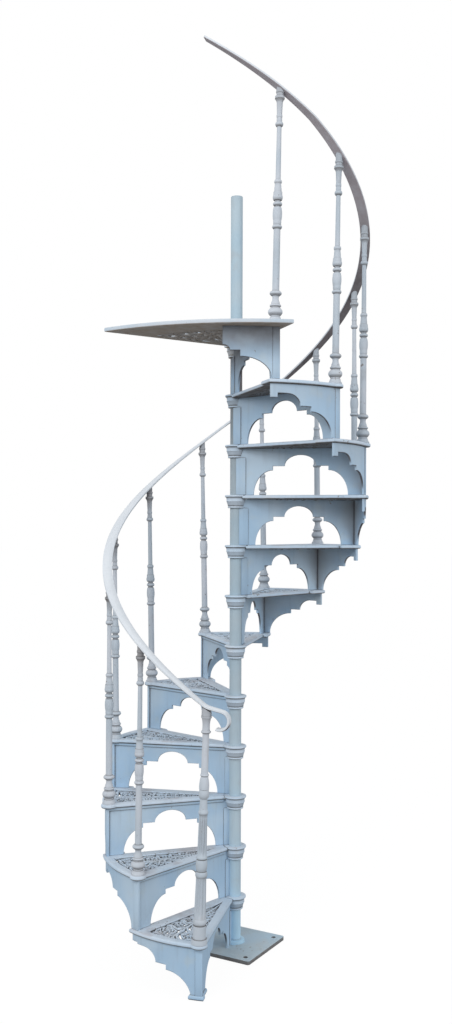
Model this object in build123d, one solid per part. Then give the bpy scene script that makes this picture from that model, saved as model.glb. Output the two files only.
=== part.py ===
from build123d import *
import math
import os

# Cast iron spiral stair: eleven treads and a landing winding clockwise round a pipe column.
# Millimetres, +Z up, the origin on the column's axis at floor level.
# A plan angle is counted clockwise, seen from above, from the side that faces -Y.

# The flight
RISE = 203.0
TREAD_COUNT = 11
STEP_ANGLE = 30.0
FIRST_NOSING_ANGLE = 12.0

# The pipe column and its base plate
PIPE_RADIUS = 24.15
PIPE_WALL = 4.0
PIPE_ABOVE_LANDING = 603.0
BASE_SIDE = 300.0
BASE_THICKNESS = 15.0
BASE_CORNER_RADIUS = 10.0
BASE_TURN = -30.0
BASE_BOSS_RADIUS = 40.0
BASE_BOSS_HEIGHT = 12.0
BOLT_CIRCLE_RADIUS = 165.0
BOLT_HOLE_RADIUS = 9.0
BORE_CLEARANCE = 0.3

# The treads
TREAD_RADIUS = 535.0
RIM_HEIGHT = 16.0
SCROLL_HEIGHT = 8.0
REAR_LAP = 30.0
EAR_LAP = 50.0
EAR_LENGTH = 88.0
FRONT_BORDER = 34.0
REAR_BORDER = 46.0
OUTER_BORDER = 34.0
OPENING_INNER_RADIUS = 92.0
LOBE_RADIUS = 31.0
SCROLL_WIDTH = 9.0
SCROLL_POINTS = 9
SCROLL_TURNS = 1.25
EYE_SHARE = 0.4
EYE_SIZE = 0.7
SCROLL_NEAR = 58.0

# The collars that thread on the pipe
COLLAR_RADIUS = 45.0
COLLAR_NECK_RADIUS = 31.0
COLLAR_FOOT_RADIUS = 33.0
COLLAR_LIP = 8.0
COLLAR_FOOT = 7.0
COLLAR_STEP = 3.0
COLLAR_HEIGHT = 52.0

# The risers, with the string under each tread's outer edge
RISER_SETBACK = 12.0
RISER_THICKNESS = 9.0
STRING_RADIUS = 525.0
STRING_THICKNESS = 9.0
STRING_SETBACK = 6.0
STRING_END_ANGLE = 34.5
ARCH_CENTRE = 267.0
ARCH_HALF_WIDTH = 190.0
ARCH_SHOULDER_HALF = 112.0
ARCH_SHOULDER_DROP = 104.0
ARCH_SHELF_DROP = 87.0
CROWN_HALF_WIDTH = 64.0
CROWN_DROP = 43.0
RIB_END = 45.0
RIB_PROUD = 4.0
LEG_ANGLE = 5.4
PAD_HEIGHT = 18.0
PAD_PROUD = 6.0
PAD_START = 452.0
SCALLOP_ONE_ANGLE = 16.5
SCALLOP_ONE_DROP = 112.0
SHELF_ANGLE = 21.5
SHELF_DROP = 94.0
SCALLOP_TWO_ANGLE = 27.5
SCALLOP_TWO_DROP = 50.0
NOSE_ANGLE = 31.5
NOSE_DROP = 66.0
FIRST_NOSE_DROP = 44.0
CORNER_ANGLE = 3.6
CORNER_PROUD = 2.5

# The string under the landing, which ends after its first scallop
LAST_LEG_ANGLE = 3.9
LAST_SCALLOP_DROP = 125.0
LAST_SHELF_ANGLE = 20.5
LAST_SHELF_DROP = 103.0
LAST_STRING_END = 23.5
LAST_STRING_DROP = 83.0

# The landing
LANDING_EDGE_RADIUS = 868.0
LANDING_EDGE_SETBACK = 294.0
LANDING_EDGE_ANGLE = 370.8
LANDING_START_ANGLE = 340.3
LANDING_END_ANGLE = 415.2
LANDING_SIDE_INSET = 38.6
LANDING_HUB_LENGTH = 60.0
LANDING_THICKNESS = 16.0
LANDING_OPENING_RADIUS = 430.0
LANDING_FRONT_BORDER = 64.0
LANDING_SIDE_BORDER = 32.0
LANDING_BAYS = 3
LANDING_SCROLL_NEAR = 138.0

# The balusters
BALUSTER_BASE_RADIUS = 515.0
BALUSTER_TOP_RADIUS = 518.5
BALUSTER_ANGLE = 2.4
BALUSTER_LEAN = 1.7
NEWEL_LEAN = 3.0
FOOT_STUB = 4.0

# The handrail
RAIL_WIDTH = 38.0
RAIL_THICKNESS = 11.0
RAIL_CROWN = 4.0
RAIL_HEIGHT = 861.0
RAIL_GAP = 0.3
RAIL_HEAD_ANGLE = 45.0
RAIL_HEAD_SLOPE = 5.78
VOLUTE_RADIUS = 33.0
VOLUTE_RUN = 52.0
VOLUTE_SLOPE = 14.0
VOLUTE_TURN = 190.0

# Worked out from the above
LANDING_LEVEL = RISE * (TREAD_COUNT + 1)
COLUMN_TOP = LANDING_LEVEL + PIPE_ABOVE_LANDING
COLLAR_BORE = PIPE_RADIUS + BORE_CLEARANCE
MAIN_SLOPE = RISE / STEP_ANGLE
BIG = 2000.0

# Each turning of a baluster: top, radius below, radius above, swell of its middle
STANDARD_TURNING = [
    (5, 26, 26, 0),
    (18, 25, 20, -1),
    (24, 18, 18, 0),
    (52, 18.5, 18.5, 8),
    (56, 17, 17, 0),
    (65, 18, 18, 2.7),
    (74, 16.5, 15, 0),
    (96, 15, 13, -2.5),
    (114, 15, 15, 7),
    (337, 12.8, 12.2, 0),
    (351, 14, 14, 4),
    (366, 13.5, 14.5, 0.8),
    (414, 14.5, 14.5, 2.6),
    (420, 11.2, 11.2, 0),
    (433, 13.5, 13.5, 3.2),
    (440, 10.9, 10.9, 0),
    (457, 15, 17, 2),
    (470, 16.5, 16, 0),
    (500, 14, 11.5, 0),
    (514, 11.5, 11.5, 2.5),
    (706, 9.4, 8.3, 0),
    (722, 11, 11, 3.6),
    (736, 9.9, 9.2, 0.5),
    (751, 9.2, 9.2, 1.6),
    (788, 9.4, 11, 0),
    (806, 11, 18, -2),
    (814, 17.5, 17.5, 0),
    (826, 12.5, 12.5, 0),
    (836, 13, 13, 1.5),
    (900, 12.5, 12.5, 0),
]
NEWEL_TURNING = [
    (18, 30, 28, 0),
    (66, 24, 24, 0),
    (91, 21, 21, 4),
    (238, 21.5, 18.5, 0),
    (260, 19, 19, 3),
    (303, 17, 19, 3),
    (317, 17, 17, 3),
    (464, 17, 15, 0),
    (480, 15, 15, 3),
    (524, 15, 13, 0),
    (556, 16, 16, 3),
    (602, 18, 13, 2),
    (612, 13, 13, 3),
    (757, 13, 12, 0),
    (768, 14, 14, 4),
    (813, 14, 17, -2),
    (820, 19, 19, 0),
    (900, 18, 18, 0),
]


def place(radius, angle, height):
    """The point at a distance from the axis, a plan angle and a height."""
    turn = math.radians(angle)
    return Vector(-radius * math.sin(turn), -radius * math.cos(turn), height)


def nosing_angle(step):
    return FIRST_NOSING_ANGLE + STEP_ANGLE * (step - 1)


def step_place(step):
    """Turns the shape of a step, drawn with its nosing along +X, to its own step."""
    return Pos(0, 0, RISE * step) * Rot(0, 0, 270 - nosing_angle(step))


def wedge_apex(start, end, start_offset, end_offset):
    """Where the two sides of a wedge meet, each side moved outwards."""
    half = math.radians(start - end) / 2
    middle = math.radians((start + end) / 2)
    back = -(start_offset + end_offset) / 2 / math.sin(half)
    aside = (start_offset - end_offset) / 2 / math.cos(half)
    along = Vector(math.cos(middle), math.sin(middle))
    across = Vector(-math.sin(middle), math.cos(middle))
    return along * back + across * aside


def wedge(start, end, start_offset, end_offset):
    """A wide flat wedge, clockwise from one direction to another, each side moved outwards."""
    apex = wedge_apex(start, end, start_offset, end_offset)
    points = [apex]
    for angle in (start, (start + end) / 2, end):
        turn = math.radians(angle)
        points.append(apex + Vector(math.cos(turn), math.sin(turn)) * BIG)
    return make_face(Polyline(*points, close=True))


def scroll(centre, size, start, way):
    """One flat curl: a bar that leaves the stem, swings round and winds in to an eye."""
    outer = []
    inner = []
    for i in range(SCROLL_POINTS):
        share = i / (SCROLL_POINTS - 1)
        angle = math.radians(start) + way * share * SCROLL_TURNS * 2 * math.pi
        radius = size * (1 - (1 - EYE_SHARE) * share**2)
        half = SCROLL_WIDTH / 2 * (1 - EYE_SHARE * share)
        ray = Vector(math.cos(angle), math.sin(angle))
        outer.append(centre + ray * (radius + half))
        inner.append(centre + ray * (radius - half))
    edges = [
        Spline(*outer),
        Line(outer[-1], inner[-1]),
        Spline(*reversed(inner)),
        Line(inner[0], outer[0]),
    ]
    eye = (outer[-1] + inner[-1]) / 2
    return make_face(edges) + Pos(eye.X, eye.Y) * Circle(SCROLL_WIDTH * EYE_SIZE)


def stem(apex, direction, far):
    """A straight bar that runs out from an opening's apex."""
    along = Vector(math.cos(math.radians(direction)), math.sin(math.radians(direction)))
    centre = apex + along * far / 2
    return Pos(centre.X, centre.Y) * Rot(0, 0, direction) * Rectangle(2 * far, SCROLL_WIDTH)


def scrollwork(apex, direction, half_angle, near, far):
    """Pairs of curls on a stem that runs out from an opening's apex, growing as they go."""
    along = Vector(math.cos(math.radians(direction)), math.sin(math.radians(direction)))
    across = Vector(-along.Y, along.X)
    bars = [stem(apex, direction, far)]
    share = math.tan(math.radians(half_angle)) / 2
    distance = near
    while distance < far:
        size = distance * share / (1 - share)
        distance = distance + size
        if distance + size > far + SCROLL_WIDTH:
            break
        for side in (1, -1):
            centre = apex + along * distance + across * (side * size)
            bars.append(scroll(centre, size, direction - side * 90, side))
        distance = distance + size - SCROLL_WIDTH / 2
    return bars


def grille(bars, opening):
    """Flat bars joined and trimmed to their opening, level with the top."""
    joined = bars[0]
    for bar in bars[1:]:
        joined = joined + bar
    return extrude(joined & opening, -SCROLL_HEIGHT)


def collar():
    """The sleeve of a tread that the pipe passes through, top at zero."""
    neck_drop = COLLAR_HEIGHT - COLLAR_FOOT
    shoulder = COLLAR_RADIUS - COLLAR_STEP
    waist = (COLLAR_NECK_RADIUS + COLLAR_STEP, -(COLLAR_LIP + neck_drop) / 2)
    edges = [
        Line((COLLAR_BORE, 0), (COLLAR_RADIUS, 0)),
        Line((COLLAR_RADIUS, 0), (COLLAR_RADIUS, -COLLAR_LIP)),
        Line((COLLAR_RADIUS, -COLLAR_LIP), (shoulder, -COLLAR_LIP)),
        ThreePointArc((shoulder, -COLLAR_LIP), waist, (COLLAR_NECK_RADIUS, -neck_drop)),
        Line((COLLAR_NECK_RADIUS, -neck_drop), (COLLAR_FOOT_RADIUS, -neck_drop)),
        Line((COLLAR_FOOT_RADIUS, -neck_drop), (COLLAR_FOOT_RADIUS, -COLLAR_HEIGHT)),
        Line((COLLAR_FOOT_RADIUS, -COLLAR_HEIGHT), (COLLAR_BORE, -COLLAR_HEIGHT)),
        Line((COLLAR_BORE, -COLLAR_HEIGHT), (COLLAR_BORE, 0)),
    ]
    return revolve(Plane.XZ * make_face(edges), Axis.Z)


def lobe_centre():
    turn = math.radians(BALUSTER_ANGLE)
    return Pos(BALUSTER_BASE_RADIUS * math.cos(turn), -BALUSTER_BASE_RADIUS * math.sin(turn))


def tread_casting():
    """One tread with its collar, its nosing along +X and its top at zero."""
    outline = Circle(TREAD_RADIUS) & wedge(0, -STEP_ANGLE, 0, REAR_LAP)
    ear = Circle(TREAD_RADIUS) & wedge(-STEP_ANGLE / 2, -STEP_ANGLE, 0, EAR_LAP)
    outline = outline + (ear - Circle(TREAD_RADIUS - EAR_LENGTH))
    outline = outline + lobe_centre() * Circle(LOBE_RADIUS)
    opening = Circle(TREAD_RADIUS - OUTER_BORDER) & wedge(
        0, -STEP_ANGLE, -FRONT_BORDER, REAR_LAP - REAR_BORDER
    )
    opening = opening - Circle(OPENING_INNER_RADIUS)
    opening = opening - lobe_centre() * Circle(LOBE_RADIUS)
    apex = wedge_apex(0, -STEP_ANGLE, -FRONT_BORDER, REAR_LAP - REAR_BORDER)
    far = TREAD_RADIUS - OUTER_BORDER - apex.length
    bars = scrollwork(apex, -STEP_ANGLE / 2, STEP_ANGLE / 2, SCROLL_NEAR, far)
    rim = extrude(outline - opening - Circle(COLLAR_NECK_RADIUS), -RIM_HEIGHT)
    casting = rim + grille(bars, opening) + collar()
    return casting - Pos(0, 0, -RIM_HEIGHT) * Cylinder(COLLAR_BORE, BIG)


def riser_face():
    """The riser's flat face: distance from the axis across, height up, tread top at zero."""
    floor = -RISE
    top = -RIM_HEIGHT
    outer = STRING_RADIUS - STRING_THICKNESS / 2
    outline = make_face(Polyline((0, top), (outer, top), (outer, floor), (0, floor), close=True))
    shoulder = RISE - ARCH_SHOULDER_DROP
    curve_width = ARCH_HALF_WIDTH - ARCH_SHOULDER_HALF
    crown_height = ARCH_SHELF_DROP - CROWN_DROP
    arch = make_face(
        [
            Line((-ARCH_HALF_WIDTH, floor), (ARCH_HALF_WIDTH, floor)),
            EllipticalCenterArc(
                (ARCH_SHOULDER_HALF, floor), curve_width, shoulder, 0, arc_size=90
            ),
            Line((ARCH_SHOULDER_HALF, -ARCH_SHOULDER_DROP), (ARCH_SHOULDER_HALF, -ARCH_SHELF_DROP)),
            Line((ARCH_SHOULDER_HALF, -ARCH_SHELF_DROP), (CROWN_HALF_WIDTH, -ARCH_SHELF_DROP)),
            EllipticalCenterArc(
                (0, -ARCH_SHELF_DROP), CROWN_HALF_WIDTH, crown_height, 0, arc_size=180
            ),
            Line((-CROWN_HALF_WIDTH, -ARCH_SHELF_DROP), (-ARCH_SHOULDER_HALF, -ARCH_SHELF_DROP)),
            Line((-ARCH_SHOULDER_HALF, -ARCH_SHELF_DROP), (-ARCH_SHOULDER_HALF, -ARCH_SHOULDER_DROP)),
            EllipticalCenterArc(
                (-ARCH_SHOULDER_HALF, floor), curve_width, shoulder, 90, arc_size=90
            ),
        ]
    )
    return outline - Pos(ARCH_CENTRE, 0) * arch


def along_string(angle):
    """Where a plan angle behind the nosing lies on the string's flat view, nosing to the right."""
    return STRING_RADIUS * math.sin(math.radians(STRING_END_ANGLE / 2 - angle))


def string_foot(leg_angle, scallop_drop):
    """The string's front edge, its foot and its first scallop."""
    front = along_string(0)
    leg = along_string(leg_angle)
    one = along_string(SCALLOP_ONE_ANGLE)
    return [
        Line((front, -RIM_HEIGHT), (front, -RISE)),
        Line((front, -RISE), (leg, -RISE)),
        EllipticalCenterArc((one, -RISE), leg - one, RISE - scallop_drop, 0, arc_size=90),
    ]


def string_face(nose_drop):
    """The string's face, with two scallops and the nose over the next riser."""
    one = along_string(SCALLOP_ONE_ANGLE)
    shelf = along_string(SHELF_ANGLE)
    two = along_string(SCALLOP_TWO_ANGLE)
    nose = along_string(NOSE_ANGLE)
    back = along_string(STRING_END_ANGLE)
    edges = string_foot(LEG_ANGLE, SCALLOP_ONE_DROP)
    edges += [
        Line((one, -SCALLOP_ONE_DROP), (one, -SHELF_DROP)),
        Line((one, -SHELF_DROP), (shelf, -SHELF_DROP)),
        EllipticalCenterArc(
            (two, -SHELF_DROP), shelf - two, SHELF_DROP - SCALLOP_TWO_DROP, 0, arc_size=90
        ),
        Line((two, -SCALLOP_TWO_DROP), (nose, -SCALLOP_TWO_DROP)),
        Line((nose, -SCALLOP_TWO_DROP), (nose, -nose_drop)),
        Line((nose, -nose_drop), (back, -nose_drop)),
        Line((back, -nose_drop), (back, -RIM_HEIGHT)),
        Line((back, -RIM_HEIGHT), (along_string(0), -RIM_HEIGHT)),
    ]
    return make_face(edges)


def last_string_face():
    """The shorter face of the string under the landing."""
    one = along_string(SCALLOP_ONE_ANGLE)
    shelf = along_string(LAST_SHELF_ANGLE)
    back = along_string(LAST_STRING_END)
    edges = string_foot(LAST_LEG_ANGLE, LAST_SCALLOP_DROP)
    edges += [
        Line((one, -LAST_SCALLOP_DROP), (one, -LAST_SHELF_DROP)),
        Line((one, -LAST_SHELF_DROP), (shelf, -LAST_SHELF_DROP)),
        EllipticalCenterArc(
            (back, -LAST_SHELF_DROP), shelf - back, LAST_SHELF_DROP - LAST_STRING_DROP, 0, arc_size=90
        ),
        Line((back, -LAST_STRING_DROP), (back, -RIM_HEIGHT)),
        Line((back, -RIM_HEIGHT), (along_string(0), -RIM_HEIGHT)),
    ]
    return make_face(edges)


def column_space():
    """What the pipe and a tread's collar take out of the riser under that tread."""
    neck_drop = COLLAR_HEIGHT - COLLAR_FOOT
    gap = BORE_CLEARANCE
    pipe = Pos(0, 0, -RISE / 2) * Cylinder(COLLAR_BORE, RISE)
    foot_radius = COLLAR_FOOT_RADIUS + gap
    foot = Pos(0, 0, -COLLAR_HEIGHT / 2) * Cylinder(foot_radius, COLLAR_HEIGHT + gap)
    flare_height = neck_drop - COLLAR_LIP
    flare = Pos(0, 0, -(neck_drop + COLLAR_LIP) / 2) * Cone(
        COLLAR_NECK_RADIUS + gap, COLLAR_RADIUS + gap, flare_height
    )
    return pipe + foot + flare


def string_shell(inner, outer, start, end):
    """An upright ring sector, a riser high, at the treads' rim."""
    sector = (Circle(outer) - Circle(inner)) & wedge(0, -end, -start, 0)
    return Pos(0, 0, -RISE) * extrude(sector, RISE)


def foot_pad():
    """The cushion under the first riser's outer leg."""
    back = -RISER_SETBACK - RISER_THICKNESS - PAD_PROUD
    front = -RISER_SETBACK + PAD_PROUD
    inside = STRING_RADIUS - STRING_THICKNESS
    middle = ((PAD_START + inside) / 2, (back + front) / 2, PAD_HEIGHT / 2 - RISE)
    straight = Pos(*middle) * Box(inside - PAD_START, front - back, PAD_HEIGHT)
    bent = string_shell(inside - PAD_PROUD, STRING_RADIUS + PAD_PROUD, 0, LEG_ANGLE + 1)
    return straight + (bent & Pos(0, 0, -RISE) * Box(BIG, BIG, 2 * PAD_HEIGHT))


def riser_casting(face):
    """A riser with its string, cut to a face, and its corner strip: nosing along +X, top at zero."""
    plate = Pos(0, -RISER_SETBACK, 0) * extrude(Plane.XZ * riser_face(), RISER_THICKNESS)
    rib = Pos(
        RIB_END / 2,
        -RISER_SETBACK - RISER_THICKNESS / 2,
        -(RISE + COLLAR_HEIGHT) / 2,
    ) * Box(RIB_END, RISER_THICKNESS + 2 * RIB_PROUD, RISE - COLLAR_HEIGHT)
    middle = -STRING_END_ANGLE / 2
    view = Plane(
        origin=(0, 0, 0),
        x_dir=Vector(-math.sin(math.radians(middle)), math.cos(math.radians(middle)), 0),
        z_dir=Vector(math.cos(math.radians(middle)), math.sin(math.radians(middle)), 0),
    )
    prism = extrude(view * face, BIG / 2)
    inside = STRING_RADIUS - STRING_THICKNESS
    shell = string_shell(inside, STRING_RADIUS, STRING_SETBACK, STRING_END_ANGLE)
    corner = string_shell(inside, STRING_RADIUS + CORNER_PROUD, STRING_SETBACK, CORNER_ANGLE)
    corner = corner - Pos(0, 0, -RIM_HEIGHT / 2) * Box(BIG, BIG, RIM_HEIGHT)
    inward = (plate + rib) - column_space()
    return inward + (shell & prism) + corner


def landing_plate():
    """The landing, in the frame of a step whose nosing is the last riser's."""
    start = nosing_angle(TREAD_COUNT + 1) - LANDING_START_ANGLE
    end = nosing_angle(TREAD_COUNT + 1) - LANDING_END_ANGLE
    turn = math.radians(nosing_angle(TREAD_COUNT + 1) - LANDING_EDGE_ANGLE)
    edge_centre = Vector(math.cos(turn), math.sin(turn)) * -LANDING_EDGE_SETBACK
    outline = Pos(edge_centre.X, edge_centre.Y) * Circle(LANDING_EDGE_RADIUS)
    outline = outline & wedge(start, end, 0, -LANDING_SIDE_INSET)
    hub = Pos(LANDING_HUB_LENGTH / 2, LANDING_SIDE_INSET / 2) * Rectangle(
        LANDING_HUB_LENGTH, LANDING_SIDE_INSET
    )
    outline = outline + Rot(0, 0, end) * hub + Circle(COLLAR_RADIUS)
    side_border = LANDING_SIDE_INSET + LANDING_SIDE_BORDER
    opening = Circle(LANDING_OPENING_RADIUS) & wedge(start, end, -LANDING_FRONT_BORDER, -side_border)
    opening = opening - Circle(OPENING_INNER_RADIUS)
    apex = wedge_apex(start, end, -LANDING_FRONT_BORDER, -side_border)
    bay = (start - end) / LANDING_BAYS
    far = LANDING_OPENING_RADIUS - apex.length
    casting = extrude(outline - opening - Circle(COLLAR_NECK_RADIUS), -LANDING_THICKNESS)
    for i in range(LANDING_BAYS):
        bars = scrollwork(apex, start - bay * (i + 0.5), bay / 2, LANDING_SCROLL_NEAR, far)
        casting = casting + grille(bars, opening)
        if i:
            casting = casting + grille([stem(apex, start - bay * i, far)], opening)
    casting = casting + collar()
    return casting - Pos(0, 0, -LANDING_THICKNESS) * Cylinder(COLLAR_BORE, BIG)


def base_plate():
    """The square plate under the column, with four bolt holes."""
    plate = extrude(RectangleRounded(BASE_SIDE, BASE_SIDE, BASE_CORNER_RADIUS), BASE_THICKNESS)
    holes = PolarLocations(BOLT_CIRCLE_RADIUS, 4, start_angle=45) * Cylinder(BOLT_HOLE_RADIUS, BIG)
    return Rot(0, 0, BASE_TURN) * (plate - holes)


def base_boss():
    middle = BASE_THICKNESS + BASE_BOSS_HEIGHT / 2
    return Pos(0, 0, middle) * Cylinder(BASE_BOSS_RADIUS, BASE_BOSS_HEIGHT)


def centre_column(boss):
    """The pipe from the base plate to above the landing, with its boss."""
    length = COLUMN_TOP - BASE_THICKNESS
    middle = Pos(0, 0, BASE_THICKNESS + length / 2)
    pipe = middle * Cylinder(PIPE_RADIUS, length)
    return pipe + boss - middle * Cylinder(PIPE_RADIUS - PIPE_WALL, length)


def turned(turnings):
    """A turned baluster standing on zero, from its list of turnings."""
    edges = []
    level = 0.0
    at = (0.0, 0.0)
    for top, below, above, swell in turnings:
        start = (below, level)
        end = (above, top)
        if start != at:
            edges.append(Line(at, start))
        if swell:
            middle = ((below + above) / 2 + swell, (level + top) / 2)
            edges.append(ThreePointArc(start, middle, end))
        else:
            edges.append(Line(start, end))
        at = end
        level = top
    edges.append(Line(at, (0, level)))
    edges.append(Line((0, level), (0, 0)))
    return revolve(Plane.XZ * make_face(edges), Axis.Z)


def baluster_angle(step):
    return nosing_angle(step) + BALUSTER_ANGLE


def lean_of(step):
    return NEWEL_LEAN if step == 1 else BALUSTER_LEAN


def top_angle(step):
    """Where a baluster meets the handrail."""
    return baluster_angle(step) - lean_of(step)


def rail_level(angle):
    """The height of the handrail's middle line at a plan angle."""
    main_angle = min(angle, rail_head_start())
    level = RISE * 2 + RAIL_HEIGHT + (main_angle - top_angle(2)) * MAIN_SLOPE
    return level + (angle - main_angle) * RAIL_HEAD_SLOPE


def rail_head_start():
    """The handrail slackens midway between the last two balusters."""
    return (top_angle(TREAD_COUNT) + top_angle(TREAD_COUNT + 1)) / 2


def rail_pitch(slope):
    """The angle above level of a handrail that climbs so much a degree of plan."""
    return math.atan(slope / (BALUSTER_TOP_RADIUS * math.radians(1)))


def uphill(angle):
    """The level direction along the handrail, going up, at a plan angle."""
    turn = math.radians(angle)
    return Vector(-math.cos(turn), math.sin(turn), 0)


def under_rail(angle, pitch):
    """The plane of the handrail's underside at a plan angle, with its small gap."""
    normal = Vector(0, 0, 1) * math.cos(pitch) - uphill(angle) * math.sin(pitch)
    drop = RAIL_THICKNESS / 2 + RAIL_GAP
    origin = place(BALUSTER_TOP_RADIUS, angle, rail_level(angle)) - normal * drop
    return Plane(origin=origin, z_dir=normal)


def baluster(step):
    """A baluster on its tread, leaning a little down the stair and cut to the handrail."""
    turnings = NEWEL_TURNING if step == 1 else STANDARD_TURNING
    slope = RAIL_HEAD_SLOPE if step > TREAD_COUNT else MAIN_SLOPE
    foot = place(BALUSTER_BASE_RADIUS, baluster_angle(step), RISE * step)
    angle = top_angle(step)
    top = place(BALUSTER_TOP_RADIUS, angle, rail_level(angle))
    sunk = Pos(0, 0, -FOOT_STUB / 2) * Cylinder(turnings[0][1], FOOT_STUB)
    post = Plane(origin=foot, z_dir=top - foot) * (turned(turnings) + sunk)
    post = split(post, Plane(origin=foot, z_dir=(0, 0, 1)), keep=Keep.TOP)
    post = split(post, under_rail(angle, rail_pitch(slope)), keep=Keep.BOTTOM)
    if step == 1:
        post = split(post, under_rail(angle, math.radians(VOLUTE_SLOPE)), keep=Keep.BOTTOM)
    return post


def rail_section():
    """The handrail's section: flat below, a low crown above, width along x."""
    half = RAIL_WIDTH / 2
    low = -RAIL_THICKNESS / 2
    high = RAIL_THICKNESS / 2
    side = high - RAIL_CROWN
    edges = [
        Line((-half, low), (half, low)),
        Line((half, low), (half, side)),
        ThreePointArc((half, side), (0, high), (-half, side)),
        Line((-half, side), (-half, low)),
    ]
    return make_face(edges)


def rail_bar(start_angle, end_angle, slope):
    """One stretch of handrail at an even slope."""
    rise = slope * (end_angle - start_angle)
    path = Helix(slope * 360, rise, BALUSTER_TOP_RADIUS, lefthand=True)
    path = Pos(0, 0, rail_level(start_angle)) * Rot(0, 0, 270 - start_angle) * path
    start = path.position_at(0)
    along = path.tangent_at(0)
    outward = Vector(start.X, start.Y, 0).normalized()
    width_way = outward if along.cross(outward).Z > 0 else -outward
    section = Plane(origin=start, x_dir=width_way, z_dir=along) * rail_section()
    return sweep(section, path=path, is_frenet=True)


def across_rail(angle, pitch):
    """A plane square across the handrail, facing down the stair."""
    along = uphill(angle) * math.cos(pitch) + Vector(0, 0, 1) * math.sin(pitch)
    return Plane(origin=place(BALUSTER_TOP_RADIUS, angle, rail_level(angle)), z_dir=-along)


def handrail_head():
    """The top stretch, cut to meet the main stretch where the slope slackens."""
    start = rail_head_start()
    bar = rail_bar(start, start + RAIL_HEAD_ANGLE, RAIL_HEAD_SLOPE)
    return split(bar, across_rail(start, rail_pitch(MAIN_SLOPE)), keep=Keep.BOTTOM)


def rail_volute(start_angle):
    """The handrail's lower end: a short easing, then a curl down and back under."""
    slope = math.radians(VOLUTE_SLOPE)
    half = RAIL_THICKNESS / 2
    way = Vector(math.cos(slope), -math.sin(slope))
    up = Vector(math.sin(slope), math.cos(slope))
    end = way * VOLUTE_RUN
    centre = end - up * VOLUTE_RADIUS
    back = way * -RAIL_WIDTH
    first = 90 - VOLUTE_SLOPE
    last = math.radians(first - VOLUTE_TURN)
    between = math.radians(first - VOLUTE_TURN / 2)
    tip = Vector(math.cos(last), math.sin(last))
    side = Vector(math.cos(between), math.sin(between))
    outer = VOLUTE_RADIUS + half
    inner = VOLUTE_RADIUS - half
    edges = [
        Line(back + up * half, end + up * half),
        ThreePointArc(end + up * half, centre + side * outer, centre + tip * outer),
        Line(centre + tip * outer, centre + tip * inner),
        ThreePointArc(centre + tip * inner, centre + side * inner, end - up * half),
        Line(end - up * half, back - up * half),
        Line(back - up * half, back + up * half),
    ]
    downhill = -uphill(start_angle)
    view = Plane(
        origin=place(BALUSTER_TOP_RADIUS, start_angle, rail_level(start_angle)),
        x_dir=downhill,
        z_dir=downhill.cross(Vector(0, 0, 1)),
    )
    curl = extrude(view * make_face(edges), RAIL_WIDTH / 2, both=True)
    return split(curl, across_rail(start_angle, rail_pitch(MAIN_SLOPE)), keep=Keep.TOP)


def keep_part(name, shape):
    shape.label = name
    export_step(shape, f"parts/{name}.step")


def main():
    os.makedirs("parts", exist_ok=True)
    base = base_plate()
    keep_part("base_plate", base)
    boss = base_boss()
    keep_part("centre_column", centre_column(boss))
    tread = tread_casting()
    riser = riser_casting(string_face(NOSE_DROP))
    first_riser = riser_casting(string_face(FIRST_NOSE_DROP)) + foot_pad()
    last_riser = riser_casting(last_string_face())
    for step in range(1, TREAD_COUNT + 1):
        keep_part(f"tread_{step:02d}", step_place(step) * tread)
    keep_part("landing", step_place(TREAD_COUNT + 1) * landing_plate())
    for step in range(1, TREAD_COUNT + 2):
        if step == 1:
            placed = step_place(step) * first_riser - base - boss
        elif step > TREAD_COUNT:
            placed = step_place(step) * last_riser
        else:
            placed = step_place(step) * riser
        keep_part(f"riser_{step:02d}", placed)
        keep_part(f"baluster_{step:02d}", baluster(step))
    keep_part("handrail", rail_bar(top_angle(1), rail_head_start(), MAIN_SLOPE))
    keep_part("handrail_head", handrail_head())
    keep_part("handrail_volute", rail_volute(top_angle(1)))


main()
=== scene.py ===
import math

import bmesh
import bpy
from mathutils import Matrix, Vector


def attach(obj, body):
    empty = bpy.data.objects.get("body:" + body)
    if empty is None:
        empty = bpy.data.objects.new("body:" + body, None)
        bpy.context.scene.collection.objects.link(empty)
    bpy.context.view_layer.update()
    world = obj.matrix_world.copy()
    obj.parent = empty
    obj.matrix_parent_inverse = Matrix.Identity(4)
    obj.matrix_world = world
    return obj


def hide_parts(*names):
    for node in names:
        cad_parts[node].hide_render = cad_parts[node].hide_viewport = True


# Metres throughout. Plan angles are in degrees, counted clockwise from above, from the side facing -Y.
# A step is drawn with its nosing along +X and its top at zero, then turned and raised to its place.

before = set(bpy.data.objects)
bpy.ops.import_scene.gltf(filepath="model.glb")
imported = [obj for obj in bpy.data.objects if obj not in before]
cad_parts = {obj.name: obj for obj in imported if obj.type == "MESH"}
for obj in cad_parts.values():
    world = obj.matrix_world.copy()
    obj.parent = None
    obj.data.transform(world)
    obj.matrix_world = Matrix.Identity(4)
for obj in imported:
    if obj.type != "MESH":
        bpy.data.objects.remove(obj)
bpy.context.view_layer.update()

# The flight
RISE = 0.203
TREAD_COUNT = 11
STEP_ANGLE = 30.0
FIRST_NOSING_ANGLE = 12.0

# The column and its base plate
PIPE_RADIUS = 0.02415
PIPE_WALL = 0.004
PIPE_ABOVE_LANDING = 0.603
PIPE_RINGS = 60
BASE_SIDE = 0.3
BASE_THICKNESS = 0.015
BASE_CORNER_RADIUS = 0.01
BASE_ROUNDING = 0.0012
BASE_TURN = -30.0
BOSS_RADIUS = 0.04
BOSS_HEIGHT = 0.012
BOSS_ROUNDING = 0.003
BOLT_CIRCLE_RADIUS = 0.165
BOLT_HOLE_RADIUS = 0.009
BOLT_HOLE_SIDES = 24
EDGE_CUT = 0.001
ROUND_SIDES = 48

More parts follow.
